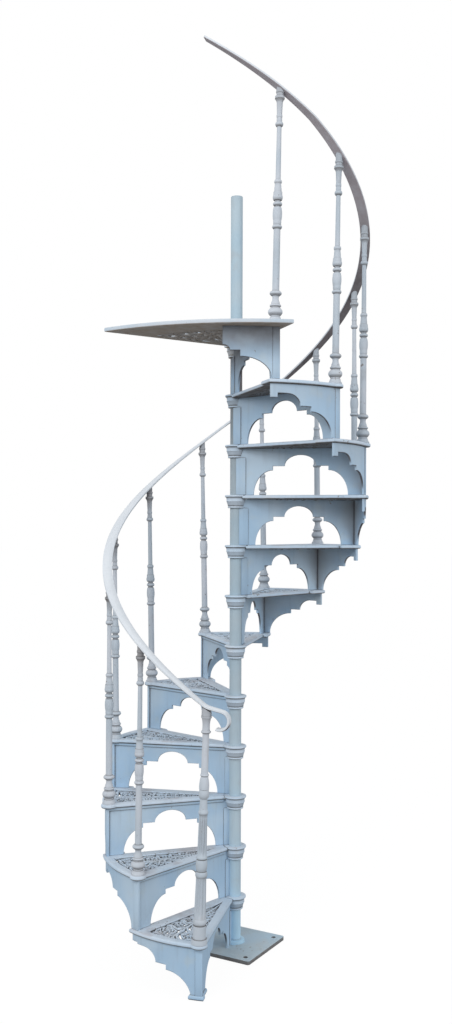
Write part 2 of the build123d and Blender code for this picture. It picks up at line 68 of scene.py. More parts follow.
# The treads and their collars
TREAD_RADIUS = 0.535
RIM_HEIGHT = 0.016
REAR_LAP = 0.03
EAR_LAP = 0.05
EAR_LENGTH = 0.088
FRONT_BORDER = 0.034
REAR_BORDER = 0.046
OUTER_BORDER = 0.034
LOBE_RADIUS = 0.031
TREAD_ROUNDING = 0.006
COLLAR_BORE = 0.02445
COLLAR_RADIUS = 0.045
COLLAR_LAP = 0.001
COLLAR_FOOT_RADIUS = 0.033
COLLAR_LIP = 0.008
COLLAR_ROUNDING = 0.002
COLLAR_ROUND_CUT = 0.0006
COLLAR_UNDERCUT = 0.0015
COLLAR_FOOT = 0.007
COLLAR_HEIGHT = 0.052

# The scrollwork
SCROLL_NEAR = 0.058
SCROLL_TURNS = 1.25
SCROLL_BAR = 0.006
SCROLL_FLATTEN = 1.08
SCROLL_DEPTH = 0.0112
STEM_WIDTH = 0.9
STEM_POINTS = 12
CURL_POINTS = 18
CURL_LAP = 0.0045
CURL_SPARE = 0.009
EYE_SHARE = 0.4
EYE_WIDTH = 1.35
EYE_HALF_LENGTH = 0.002

# The leaves on a curl: how far past its centre one grows, its direction, its length and its bend
CURL_LEAVES = ((0.72, 62, 1.15, 45), (-0.8, 150, 0.95, -40))
LEAFY_CURL = 0.014
LEAF_POINTS = 8
LEAF_TIP = 0.25
LEAF_SWELL = 1.25
LEAF_SPREAD = 0.9
LEAF_ROOT = 0.12

# The smaller leaves that fill what is left open: the smallest gap that one fills, and its widths
FILLER_LEAST = 0.008
LANDING_FILLER_LEAST = 0.013
FILLER_GRID = 0.006
FILLER_STEP = 0.004
BAR_STEP = 0.005
OUTLINE_STEP = 0.006
FILLER_BEND = 0.18
FILLER_WIDTHS = (0.75, 0.95, 1.0, 0.75, 0.35)

# The risers, with the string under each tread's outer edge
RISER_SETBACK = 0.012
RISER_THICKNESS = 0.009
CASTING_ROUNDING = 0.0018
RISER_MITRE = 0.0305
ARCH_CENTRE = 0.267
ARCH_HALF_WIDTH = 0.19
ARCH_SHOULDER_HALF = 0.112
ARCH_SHOULDER_DROP = 0.104
ARCH_SHELF_DROP = 0.087
CROWN_HALF_WIDTH = 0.064
CROWN_DROP = 0.043
RIB_END = 0.045
RIB_PROUD = 0.004
RIB_ROUNDING = 0.003
BEAD_END = 0.517
BEAD_DROP = 0.027
BEAD_PROUD = 0.005
BEAD_SINK = 0.002
STRIP_ROUNDING = 0.0024
STRING_RADIUS = 0.525
STRING_THICKNESS = 0.009
STRING_SETBACK = 0.006
STRING_END_ANGLE = 34.5
STRING_CUTS = 30
LEG_ANGLE = 5.4
SCALLOP_ONE_ANGLE = 16.5
SCALLOP_ONE_DROP = 0.112
SHELF_ANGLE = 21.5
SHELF_DROP = 0.094
SCALLOP_TWO_ANGLE = 27.5
SCALLOP_TWO_DROP = 0.05
NOSE_ANGLE = 31.5
NOSE_DROP = 0.066
FIRST_NOSE_DROP = 0.044
CORNER_WIDTH = 0.0275
CORNER_PROUD = 0.0025
PAD_HEIGHT = 0.018
PAD_PROUD = 0.006
PAD_START = 0.452
PAD_END_ANGLE = 6.4
PAD_ROUNDING = 0.007

# The string under the landing, which ends after its first scallop
LAST_LEG_ANGLE = 3.9
LAST_SCALLOP_DROP = 0.125
LAST_SHELF_ANGLE = 20.5
LAST_SHELF_DROP = 0.103
LAST_STRING_END = 23.5
LAST_STRING_DROP = 0.083

# The landing
LANDING_EDGE_RADIUS = 0.868
LANDING_EDGE_SETBACK = 0.294
LANDING_EDGE_ANGLE = 370.8
LANDING_START_ANGLE = 340.3
LANDING_END_ANGLE = 415.2
LANDING_SIDE_INSET = 0.0386
LANDING_HUB_LENGTH = 0.06
LANDING_THICKNESS = 0.016
LANDING_ROUNDING = 0.004
LANDING_OPENING_RADIUS = 0.43
LANDING_FRONT_BORDER = 0.064
LANDING_SIDE_BORDER = LANDING_SIDE_INSET + 0.032
LANDING_BAYS = 3
LANDING_SCROLL_NEAR = 0.138

# The balusters
BALUSTER_BASE_RADIUS = 0.515
BALUSTER_TOP_RADIUS = 0.5185
BALUSTER_ANGLE = 2.4
BALUSTER_LEAN = 1.7
NEWEL_LEAN = 3.0
BALUSTER_SIDES = 32
BALUSTER_SHARP_ANGLE = 40
NEWEL_SIDES = 80
FOOT_STUB = 0.004
SWELL_POINTS = 8
RING_SPACING = 0.01
FLUTE_COUNT = 10
FLUTE_DEPTH = 0.0042
FLUTE_FADE = 0.012
FLUTED_SPANS = ((0.093, 0.237), (0.319, 0.462))

# The handrail
RAIL_WIDTH = 0.038
RAIL_THICKNESS = 0.011
RAIL_CROWN = 0.004
RAIL_CROWN_POINTS = 10
RAIL_EDGE_CUT = 0.0015
RAIL_HEIGHT = 0.861
RAIL_GAP = 0.0003
RAIL_STEPS = 130
HEAD_SLOPE = 0.00578
HEAD_ANGLE = 45.0
HEAD_STEPS = 20
EASING_RADIUS = 0.06
EASING_STEPS = 8
VOLUTE_RADIUS = 0.036
VOLUTE_RUN = 0.06
VOLUTE_SLOPE = 14.0
VOLUTE_TURN = 190.0
VOLUTE_STEPS = 24

# The paint
PAINT_SHEEN = 0.35
BUMP_STRENGTH = 0.35
BUMP_DEPTH = 0.0012

# The spans of height over which each stain, painted shade and painted light comes or goes
PIPE_FOOT_SPAN = (0.1, 0.3)
PIPE_GREY_SPAN = (0.5, 1.2)
PIPE_SHADE_SPAN = (1.6, 2.5)
PIPE_DARK_SPAN = (2.1, 2.4)
PIPE_SHADE_STOP_SPAN = (2.43, 2.44)
GREY_RISER_SPAN = (0.9, 1.5)
LANDING_SHADE_SPAN = (2.27, 2.4)
RAIL_SHADE_SPAN = (2.7, 3.0)
BALUSTER_HEAD_SPAN = (0.76, 0.9)

# The photograph's camera, a touch off level, and the studio
CAMERA_PLACE = (0, -4.33, 1.7173)
CAMERA_ROLL = -0.0031
CAMERA_SENSOR = 36
CAMERA_LENS = 37.45
CAMERA_SHIFT = (-0.0097, 0.01)
CAMERA_REACH = 200
LAMP_SIZE = 3.5
KEY_POWER = 170
FILL_POWER = 60
SKY_TINT = (0.95, 0.97, 1, 1)
SKY_STRENGTH = 0.62
WHITE = (1, 1, 1, 1)
FLOOR_RADIUS = 60
FLOOR_SHADE = (176, 176, 176)
FLOOR_GLOW = 1.12
FLOOR_GLOW_SHARE = 0.85

# Worked out from the above
LANDING_LEVEL = RISE * (TREAD_COUNT + 1)
COLUMN_TOP = LANDING_LEVEL + PIPE_ABOVE_LANDING
MAIN_SLOPE = RISE / STEP_ANGLE

# How meshes are joined and smoothed
JOIN_DISTANCE = 0.00001
CURVE_JOIN_DISTANCE = 0.00002
SHARP_ANGLE = 35

# Each turning of a baluster: top, radius below, radius above, swell of its middle, in millimetres
STANDARD_TURNING = [
    (5, 26, 26, 0),
    (18, 25, 20, -1),
    (24, 18, 18, 0),
    (52, 18.5, 18.5, 8),
    (56, 17, 17, 0),
    (65, 18, 18, 2.7),
    (74, 16.5, 15, 0),
    (96, 15, 13, -2.5),
    (114, 15, 15, 7),
    (337, 12.8, 12.2, 0),
    (351, 14, 14, 4),
    (366, 13.5, 14.5, 0.8),
    (414, 14.5, 14.5, 2.6),
    (420, 11.2, 11.2, 0),
    (433, 13.5, 13.5, 3.2),
    (440, 10.9, 10.9, 0),
    (457, 15, 17, 2),
    (470, 16.5, 16, 0),
    (500, 14, 11.5, 0),
    (514, 11.5, 11.5, 2.5),
    (706, 9.4, 8.3, 0),
    (722, 11, 11, 3.6),
    (736, 9.9, 9.2, 0.5),
    (751, 9.2, 9.2, 1.6),
    (788, 9.4, 11, 0),
    (806, 11, 18, -2),
    (814, 17.5, 17.5, 0),
    (826, 12.5, 12.5, 0),
    (836, 13, 13, 1.5),
    (900, 12.5, 12.5, 0),
]
NEWEL_TURNING = [
    (18, 30, 28, 0),
    (66, 24, 24, 0),
    (91, 21, 21, 4),
    (238, 21.5, 18.5, 0),
    (260, 19, 19, 3),
    (303, 17, 19, 3),
    (317, 17, 17, 3),
    (464, 17, 15, 0),
    (480, 15, 15, 3),
    (524, 15, 13, 0),
    (556, 16, 16, 3),
    (602, 18, 13, 2),
    (612, 13, 13, 3),
    (757, 13, 12, 0),
    (768, 14, 14, 4),
    (813, 14, 17, -2),
    (820, 19, 19, 0),
    (900, 18, 18, 0),
]

# The moulding of a collar between its lip and its foot: radius and drop, in millimetres
COLLAR_MOULDING = [
    (41.5, 8.4),
    (39.8, 11.5),
    (38.8, 16),
    (38.4, 22),
    (39.2, 22.8),
    (39.2, 25.8),
    (37.8, 26.6),
    (36.2, 32),
    (34.2, 38),
    (32.6, 44.4),
]


# Places


def nosing_angle(step):
    return FIRST_NOSING_ANGLE + STEP_ANGLE * (step - 1)


def step_place(step):
    """Turns and raises the shape of a step to its own place."""
    turn = Matrix.Rotation(math.radians(270 - nosing_angle(step)), 4, "Z")
    return Matrix.Translation((0, 0, RISE * step)) @ turn


def place(radius, angle, height):
    """The point at a distance from the axis, a plan angle and a height."""
    turn = math.radians(angle)
    return Vector((-radius * math.sin(turn), -radius * math.cos(turn), height))


def outward(angle):
    return place(1, angle, 0)


def uphill(angle):
    """The level direction along the handrail, going up."""
    turn = math.radians(angle)
    return Vector((-math.cos(turn), math.sin(turn), 0))


def baluster_angle(step):
    return nosing_angle(step) + BALUSTER_ANGLE


def top_angle(step):
    """The plan angle where a baluster meets the handrail."""
    return baluster_angle(step) - (NEWEL_LEAN if step == 1 else BALUSTER_LEAN)


# The rail grows slacker halfway between the last two balusters
HEAD_START = (top_angle(TREAD_COUNT) + top_angle(TREAD_COUNT + 1)) / 2


def rail_level(angle):
    """The height of the handrail's middle line at a plan angle."""
    main_angle = min(angle, HEAD_START)
    level = RISE * 2 + RAIL_HEIGHT + (main_angle - top_angle(2)) * MAIN_SLOPE
    return level + (angle - main_angle) * HEAD_SLOPE


def rail_point(angle):
    """The handrail's middle line at a plan angle."""
    return place(BALUSTER_TOP_RADIUS, angle, rail_level(angle))


def rail_pitch(slope):
    """The handrail's pitch, in radians, from its rise in a degree."""
    return math.atan(slope / (BALUSTER_TOP_RADIUS * math.radians(1)))


def square_to_rail(angle, pitch):
    """The direction that stands square on the handrail at a plan angle."""
    return Vector((0, 0, 1)) * math.cos(pitch) - uphill(angle) * math.sin(pitch)


# Outlines


def arc(centre, radii, start, end, count):
    """Points along part of an ellipse, from one angle to another."""
    points = []
    for i in range(count + 1):
        turn = math.radians(start + (end - start) * i / count)
        points.append((centre[0] + radii[0] * math.cos(turn), centre[1] + radii[1] * math.sin(turn)))
    return points


def ring_arc(radius, start, end, count):
    return arc((0, 0), (radius, radius), start, end, count)


def heading(direction):
    turn = math.radians(direction)
    return Vector((math.cos(turn), math.sin(turn)))


def beside(direction, radius, aside):
    """The point at a distance from the axis on a line moved clockwise beside a direction."""
    along = math.sqrt(radius**2 - aside**2)
    turn = math.radians(direction)
    x = along * math.cos(turn) + aside * math.sin(turn)
    y = along * math.sin(turn) - aside * math.cos(turn)
    return (x, y)


def bearing(point, centre=(0, 0)):
    return math.degrees(math.atan2(point[1] - centre[1], point[0] - centre[0]))


def crossing(radius, ring, small):
    """The angle at the axis between a small circle's centre and where it crosses a ring."""
    return math.degrees(math.acos((radius**2 + ring**2 - small**2) / (2 * radius * ring)))


def wedge_apex(start, end, start_inset, end_inset):
    """Where the two sides of a wedge meet, each side moved inwards."""
    half = math.radians(start - end) / 2
    middle = math.radians((start + end) / 2)
    back = (start_inset + end_inset) / 2 / math.sin(half)
    aside = (end_inset - start_inset) / 2 / math.cos(half)
    x = math.cos(middle) * back - math.sin(middle) * aside
    y = math.sin(middle) * back + math.cos(middle) * aside
    return (x, y)


LOBE_CENTRE = beside(-BALUSTER_ANGLE, BALUSTER_BASE_RADIUS, 0)


def round_lobe(rim, border, count):
    """The lobe's arc from a line beside the nosing to a ring, and the direction where the ring starts."""
    drop = border + LOBE_CENTRE[1]
    back = LOBE_CENTRE[0] - math.sqrt(LOBE_RADIUS**2 - drop**2)
    rim_start = -BALUSTER_ANGLE - crossing(BALUSTER_BASE_RADIUS, rim, LOBE_RADIUS)
    rim_corner = ring_arc(rim, rim_start, rim_start, 1)[0]
    start = bearing((back, -border), LOBE_CENTRE)
    end = bearing(rim_corner, LOBE_CENTRE)
    return arc(LOBE_CENTRE, (LOBE_RADIUS, LOBE_RADIUS), start, end, count), rim_start


def tread_outline():
    """A wedge with a round lobe at its front corner and an ear behind, run in to its collar."""
    edge = COLLAR_RADIUS - COLLAR_LAP
    points, rim_start = round_lobe(TREAD_RADIUS, 0, 20)
    ear_corner = beside(-STEP_ANGLE, TREAD_RADIUS, EAR_LAP)
    hub_corner = beside(-STEP_ANGLE, edge, REAR_LAP)
    points += ring_arc(TREAD_RADIUS, rim_start, bearing(ear_corner), 30)[1:]
    points.append(beside(-STEP_ANGLE, TREAD_RADIUS - EAR_LENGTH, EAR_LAP))
    points.append(beside(-STEP_ANGLE, TREAD_RADIUS - EAR_LENGTH, REAR_LAP))
    return points + ring_arc(edge, bearing(hub_corner), 0, 12)


def tread_opening():
    """The opening that the scrollwork fills, cut round the lobe."""
    rim = TREAD_RADIUS - OUTER_BORDER
    rear = REAR_BORDER - REAR_LAP
    lobe, rim_start = round_lobe(rim, FRONT_BORDER, 6)
    rear_corner = beside(-STEP_ANGLE, rim, -rear)
    points = [wedge_apex(0, -STEP_ANGLE, FRONT_BORDER, rear)] + lobe
    return points + ring_arc(rim, rim_start, bearing(rear_corner), 20)[1:]


def riser_outline():
    """The riser's face: distance from the axis across, height up."""
    outer = STRING_RADIUS - STRING_THICKNESS / 2
    far = ARCH_CENTRE + ARCH_SHOULDER_HALF
    near = ARCH_CENTRE - ARCH_SHOULDER_HALF
    shoulder = (ARCH_HALF_WIDTH - ARCH_SHOULDER_HALF, RISE - ARCH_SHOULDER_DROP)
    crown = (CROWN_HALF_WIDTH, ARCH_SHELF_DROP - CROWN_DROP)
    points = [(0, -RIM_HEIGHT), (outer, -RIM_HEIGHT), (outer, -RISE)]
    points += arc((far, -RISE), shoulder, 0, 90, 12)
    points.append((far, -ARCH_SHELF_DROP))
    points += arc((ARCH_CENTRE, -ARCH_SHELF_DROP), crown, 0, 180, 18)
    points.append((near, -ARCH_SHELF_DROP))
    points += arc((near, -RISE), shoulder, 90, 180, 12)
    points.append((0, -RISE))
    return points


def along_string(angle):
    """How far round the rim a plan angle behind the nosing lies."""
    return angle * STRING_RADIUS * math.radians(1)


def string_foot(leg_angle, scallop_drop):
    """A string's front edge, its foot and its first scallop, unrolled."""
    leg = along_string(leg_angle)
    one = along_string(SCALLOP_ONE_ANGLE)
    points = [(STRING_SETBACK, -RIM_HEIGHT), (STRING_SETBACK, -RISE), (leg, -RISE)]
    return points + arc((one, -RISE), (one - leg, RISE - scallop_drop), 180, 90, 12)[1:]


def string_outline(nose_drop):
    """The string unrolled, with two scallops and the nose over the next riser."""
    one = along_string(SCALLOP_ONE_ANGLE)
    shelf = along_string(SHELF_ANGLE)
    two = along_string(SCALLOP_TWO_ANGLE)
    nose = along_string(NOSE_ANGLE)
    back = along_string(STRING_END_ANGLE)
    points = string_foot(LEG_ANGLE, SCALLOP_ONE_DROP)
    points += [(one, -SHELF_DROP), (shelf, -SHELF_DROP)]
    points += arc((two, -SHELF_DROP), (two - shelf, SHELF_DROP - SCALLOP_TWO_DROP), 180, 90, 10)[1:]
    points += [(nose, -SCALLOP_TWO_DROP), (nose, -nose_drop), (back, -nose_drop), (back, -RIM_HEIGHT)]
    return points


def last_string_outline():
    """The shorter string under the landing, unrolled."""
    one = along_string(SCALLOP_ONE_ANGLE)
    shelf = along_string(LAST_SHELF_ANGLE)
    back = along_string(LAST_STRING_END)
    points = string_foot(LAST_LEG_ANGLE, LAST_SCALLOP_DROP)
    points += [(one, -LAST_SHELF_DROP), (shelf, -LAST_SHELF_DROP)]
    scallop = (back - shelf, LAST_SHELF_DROP - LAST_STRING_DROP)
    points += arc((back, -LAST_SHELF_DROP), scallop, 180, 90, 8)[1:]
    points.append((back, -RIM_HEIGHT))
    return points


def landing_span():
    """The directions of the landing's two sides, drawn as a step is."""
    start = nosing_angle(TREAD_COUNT + 1) - LANDING_START_ANGLE
    end = nosing_angle(TREAD_COUNT + 1) - LANDING_END_ANGLE
    return start, end


def edge_meeting(centre, direction, aside):
    """Where the line beside a direction meets the landing's outer edge."""
    along = heading(direction)
    start = Vector((along.y, -along.x)) * aside
    reach = (centre - start).dot(along)
    spare = (centre - start).length_squared - reach**2
    return start + along * (reach + math.sqrt(LANDING_EDGE_RADIUS**2 - spare))


def landing_outline():
    """An arc about a centre of its own, a far side set in, and a hub that runs past the collar."""
    start, end = landing_span()
    centre = heading(nosing_angle(TREAD_COUNT + 1) - LANDING_EDGE_ANGLE) * -LANDING_EDGE_SETBACK
    first = bearing(edge_meeting(centre, start, 0), centre)
    last = bearing(edge_meeting(centre, end, -LANDING_SIDE_INSET), centre)
    edge = COLLAR_RADIUS - COLLAR_LAP
    rim = arc(centre, (LANDING_EDGE_RADIUS, LANDING_EDGE_RADIUS), first, last, 60)
    hub_corner = math.hypot(LANDING_HUB_LENGTH, LANDING_SIDE_INSET)
    hub = [beside(end, hub_corner, -LANDING_SIDE_INSET), beside(end, LANDING_HUB_LENGTH, 0)]
    return rim + hub + ring_arc(edge, end, start, 16)


def landing_opening():
    """The opening that the landing's three bays of scrollwork fill."""
    start, end = landing_span()
    front = beside(start, LANDING_OPENING_RADIUS, LANDING_FRONT_BORDER)
    side = beside(end, LANDING_OPENING_RADIUS, -LANDING_SIDE_BORDER)
    apex = wedge_apex(start, end, LANDING_FRONT_BORDER, LANDING_SIDE_BORDER)
    return [apex] + ring_arc(LANDING_OPENING_RADIUS, bearing(front), bearing(side), 40)


# Ways of making


def flat_casting(outlines, thickness, rounding):
    """A flat plate cut to its outlines, with rounded edges and its top at zero."""
    curve = bpy.data.curves.new("outline", "CURVE")
    curve.dimensions = "2D"
    curve.fill_mode = "BOTH"
    curve.extrude = thickness / 2 - rounding
    curve.bevel_depth = rounding
    curve.bevel_resolution = 2
    curve.offset = -rounding
    for outline in outlines:
        line = curve.splines.new("POLY")
        line.points.add(len(outline) - 1)
        for point, (x, y) in zip(line.points, outline):
            point.co = (x, y, 0, 1)
        line.use_cyclic_u = True
    shape = shape_of_curve(curve)
    bmesh.ops.translate(shape, vec=(0, 0, -thickness / 2), verts=shape.verts)
    return shape


def shape_of_curve(curve):
    """A curve as a mesh to work on. The curve is thrown away."""
    holder = bpy.data.objects.new("outline", curve)
    mesh = bpy.data.meshes.new_from_object(holder)
    shape = bmesh.new()
    shape.from_mesh(mesh)
    bmesh.ops.remove_doubles(shape, verts=shape.verts, dist=CURVE_JOIN_DISTANCE)
    bpy.data.objects.remove(holder)
    bpy.data.curves.remove(curve)
    bpy.data.meshes.remove(mesh)
    return shape


def turning(profile, sides):
    """A round shape spun about the axis from its (radius, height) points."""
    shape = bmesh.new()
    points = [shape.verts.new((radius, 0, height)) for radius, height in profile]
    edges = [shape.edges.new(pair) for pair in zip(points, points[1:])]
    bmesh.ops.spin(
        shape,
        geom=points + edges,
        cent=(0, 0, 0),
        axis=(0, 0, 1),
        angle=2 * math.pi,
        steps=sides,
        use_merge=True,
    )
    bmesh.ops.remove_doubles(shape, verts=shape.verts, dist=JOIN_DISTANCE)
    return shape


def rounded_bar(low, high, rounding):
    """A straight bar between two corners, its edges rounded."""
    shape = bmesh.new()
    bmesh.ops.create_cube(shape, size=1)
    size = Vector(high) - Vector(low)
    bmesh.ops.scale(shape, vec=size, verts=shape.verts)
    bmesh.ops.translate(shape, vec=(Vector(low) + Vector(high)) / 2, verts=shape.verts)
    bmesh.ops.bevel(
        shape,
        geom=shape.edges,
        offset=rounding,
        segments=2,
        profile=0.5,
        affect="EDGES",
        material=-1,
    )
    return shape


def add(shape, other):
    """Puts another shape into this one and throws the other away."""
    mesh = bpy.data.meshes.new("part")
    other.to_mesh(mesh)
    other.free()
    shape.from_mesh(mesh)
    bpy.data.meshes.remove(mesh)


def edges_in(items):
    return [item for item in items if isinstance(item, bmesh.types.BMEdge)]


def cut(shape, point, normal, clear=False):
    """Cuts along a plane, and clears what lies beyond it if asked. Gives back the cut's edges."""
    geometry = shape.verts[:] + shape.edges[:] + shape.faces[:]
    made = bmesh.ops.bisect_plane(
        shape,
        geom=geometry,
        dist=JOIN_DISTANCE,
        plane_co=point,
        plane_no=normal,
        clear_outer=clear,
    )
    return edges_in(made["geom_cut"])


def trim(shape, point, normal):
    """Cuts away what lies beyond a plane and closes the cut."""
    bmesh.ops.holes_fill(shape, edges=cut(shape, point, normal, clear=True), sides=0)


def finished_mesh(shape, name, sharp_angle=SHARP_ANGLE):
    """A mesh with its faces turned outwards, smooth but for its sharp edges."""
    bmesh.ops.recalc_face_normals(shape, faces=shape.faces)
    mesh = bpy.data.meshes.new(name)
    shape.to_mesh(mesh)
    shape.free()
    for face in mesh.polygons:
        face.use_smooth = True
    mesh.set_sharp_from_angle(angle=math.radians(sharp_angle))
    return mesh


def piece(name, mesh, nodes, finish):
    """Shows a finished mesh in place of its solids."""
    shown = bpy.data.objects.new(name, mesh)
    bpy.context.scene.collection.objects.link(shown)
    mesh.materials.append(finish)
    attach(shown, "root")
    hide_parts(*nodes)


def step_piece(name, mesh, step, node, finish):
    """Shows a copy of a step's mesh at its own step."""
    own = mesh.copy()
    own.transform(step_place(step))
    piece(f"{name}_{step:02d}", own, [f"{node}_{step:02d}"], finish)


# Finishes


class Value:
    """A socket of a finish, so that its maths reads as plain arithmetic."""

    def __init__(self, finish, socket):
        self.finish = finish
        self.socket = socket

    def __add__(self, other):
        return self.finish.maths("ADD", self, other)

    def __radd__(self, other):
        return self.finish.maths("ADD", other, self)

    def __sub__(self, other):
        return self.finish.maths("SUBTRACT", self, other)

    def __rsub__(self, other):
        return self.finish.maths("SUBTRACT", other, self)

    def __mul__(self, other):
        return self.finish.maths("MULTIPLY", self, other)

    def __rmul__(self, other):
        return self.finish.maths("MULTIPLY", other, self)


class Finish:
    """The nodes of a material, or of the world, built up one by one."""

    def __init__(self, owner):
        owner.use_nodes = True
        self.owner = owner
        self.nodes = owner.node_tree.nodes
        self.links = owner.node_tree.links

    def node(self, kind, settings, inputs, output=0):
        """One node: its settings first, then its inputs, by place or by name."""
        made = self.nodes.new(kind)
        for name, value in settings.items():
            setattr(made, name, value)
        pairs = inputs.items() if isinstance(inputs, dict) else enumerate(inputs)
        for key, value in pairs:
            self.feed(made, key, value)
        return Value(self, made.outputs[output])

    def feed(self, node, key, value):
        """Links a value to a node's input, or sets it there."""
        socket = node.inputs[key]
        if isinstance(value, Value):
            self.links.new(value.socket, socket)
        else:
            socket.default_value = value

    def maths(self, operation, *values):
        return self.node("ShaderNodeMath", {"operation": operation}, values)

    def position(self, stretch=(1, 1, 1)):
        """The place on the object, stretched for a pattern with a grain."""
        coordinates = self.node("ShaderNodeTexCoord", {}, {}, "Object")
        return self.node("ShaderNodeMapping", {}, {"Vector": coordinates, "Scale": stretch})

    def noise(self, scale, detail=3, stretch=(1, 1, 1)):
        inputs = {"Vector": self.position(stretch), "Scale": scale, "Detail": detail}
        return self.node("ShaderNodeTexNoise", {}, inputs, "Fac")

    def step(self, value, low, high):
        """Zero below the low value, one above the high one, smooth between."""
        settings = {"interpolation_type": "SMOOTHSTEP"}
        inputs = {"Value": value, "From Min": low, "From Max": high, "To Min": 0, "To Max": 1}
        return self.node("ShaderNodeMapRange", settings, inputs)

    def mix(self, share, first, second):
        """Two colours mixed by a share of the second."""
        settings = {"data_type": "RGBA"}
        inputs = {0: share, 6: colour(first), 7: colour(second)}
        return self.node("ShaderNodeMix", settings, inputs, 2)

    def upward(self):
        """One on a face that looks straight up, minus one on one that looks down."""
        normal = self.node("ShaderNodeNewGeometry", {}, {}, "Normal")
        return self.node("ShaderNodeSeparateXYZ", {}, [normal], 2)

    def axis(self, number):
        """How far along X, Y or Z a point lies."""
        coordinates = self.node("ShaderNodeTexCoord", {}, {}, "Object")
        return self.node("ShaderNodeSeparateXYZ", {}, [coordinates], number)

    def hollows(self, reach):
        """One in corners and recesses, zero on open faces."""
        settings = {"samples": 8, "only_local": True}
        open_share = self.node("ShaderNodeAmbientOcclusion", settings, {"Distance": reach}, "AO")
        return 1 - open_share

    def seen_by(self, ray):
        """One for a kind of ray, such as the camera's, zero for the others."""
        return self.node("ShaderNodeLightPath", {}, {}, ray)

    def surface(self, tint, roughness, height):
        """Gives the shader its colour, roughness and relief. The material is given back."""
        inputs = {"Strength": BUMP_STRENGTH, "Distance": BUMP_DEPTH, "Height": height}
        shader = self.nodes["Principled BSDF"]
        self.feed(shader, "Base Color", tint)
        self.feed(shader, "Roughness", roughness)
        self.feed(shader, "Specular IOR Level", PAINT_SHEEN)
        self.feed(shader, "Normal", self.node("ShaderNodeBump", {}, inputs))
        return self.owner


def colour(value):
    """A colour written as 0 to 255, as the linear values that a socket takes."""
    if isinstance(value, Value):
        return value
    shares = [part / 255 for part in value]
    linear = [part / 12.92 if part <= 0.04045 else ((part + 0.055) / 1.055) ** 2.4 for part in shares]
    return (*linear, 1)


# Where stains, painted shade and painted light lie


def under_landing(finish):
    """The stretch of pipe in the landing's shade, and some of it further down."""
    height = finish.axis(2)
    shade = finish.step(height, *PIPE_SHADE_SPAN) * 0.65
    shade = shade + finish.step(height, *PIPE_DARK_SPAN) * 0.35
    shade = shade + finish.step(height, *PIPE_GREY_SPAN) * 0.2
    # The painted shade stops at the landing.
    return shade * (1 - finish.step(height, *PIPE_SHADE_STOP_SPAN))


def column_foot_light(finish):
    """The lowest length of the pipe, painted paler and bluer as light over the shade that the lowest
    steps cast.
    """
    return 1 - finish.step(finish.axis(2), *PIPE_FOOT_SPAN)


def grille_shade(finish):
    """The upright faces inside the pierced scrollwork, where shade is painted in its holes."""
    up = finish.upward()
    return finish.step(1 - up * up, 0.3, 0.7) * finish.step(finish.hollows(0.03), 0.3, 0.6)


def rusty_patch(finish):
    """Brown showing through on the walked side of a tread, in broad patches."""
    return finish.step(finish.noise(8, 4), 0.52, 0.68) * finish.step(finish.upward(), 0.2, 0.8)


def under_tread(finish):
    """Where a tread and the corner behind it keep a riser in the shade, greyer on the upper steps."""
    height = finish.axis(2)
    rises = height * (1 / RISE)
    near_top = finish.step(finish.maths("FRACT", rises), 0.4, 0.92)
    corner = finish.step(finish.hollows(0.2), 0.05, 0.5)
    shade = near_top * 0.25 + corner * 0.65
    return shade * (0.25 + finish.step(height, *GREY_RISER_SPAN) * 0.75)


def landing_shade(finish):
    """The top of the last riser, under the landing's overhang."""
    return finish.step(finish.axis(2), *LANDING_SHADE_SPAN)


def rail_underside_shade(finish):
    """The rail's underside, but for its highest stretch: where shade is painted."""
    below = finish.step(0 - finish.upward(), 0.05, 0.65)
    return below * (1 - finish.step(finish.axis(2), *RAIL_SHADE_SPAN))


def baluster_head(finish):
    """The upper end of every baluster, stronger on those to the left."""
    up_post = finish.node("ShaderNodeAttribute", {"attribute_name": "up_post"}, {}, "Fac")
    left = finish.step(0 - finish.axis(0), 0, 0.35)
    head = finish.step(up_post + finish.noise(20) * 0.1, *BALUSTER_HEAD_SPAN)
    return head * (0.35 + left * 0.65)


def plate_edge(finish):
    """The upright edges of a plate."""
    up = finish.upward()
    return finish.step(1 - up * up, 0.4, 0.8)


# The paints


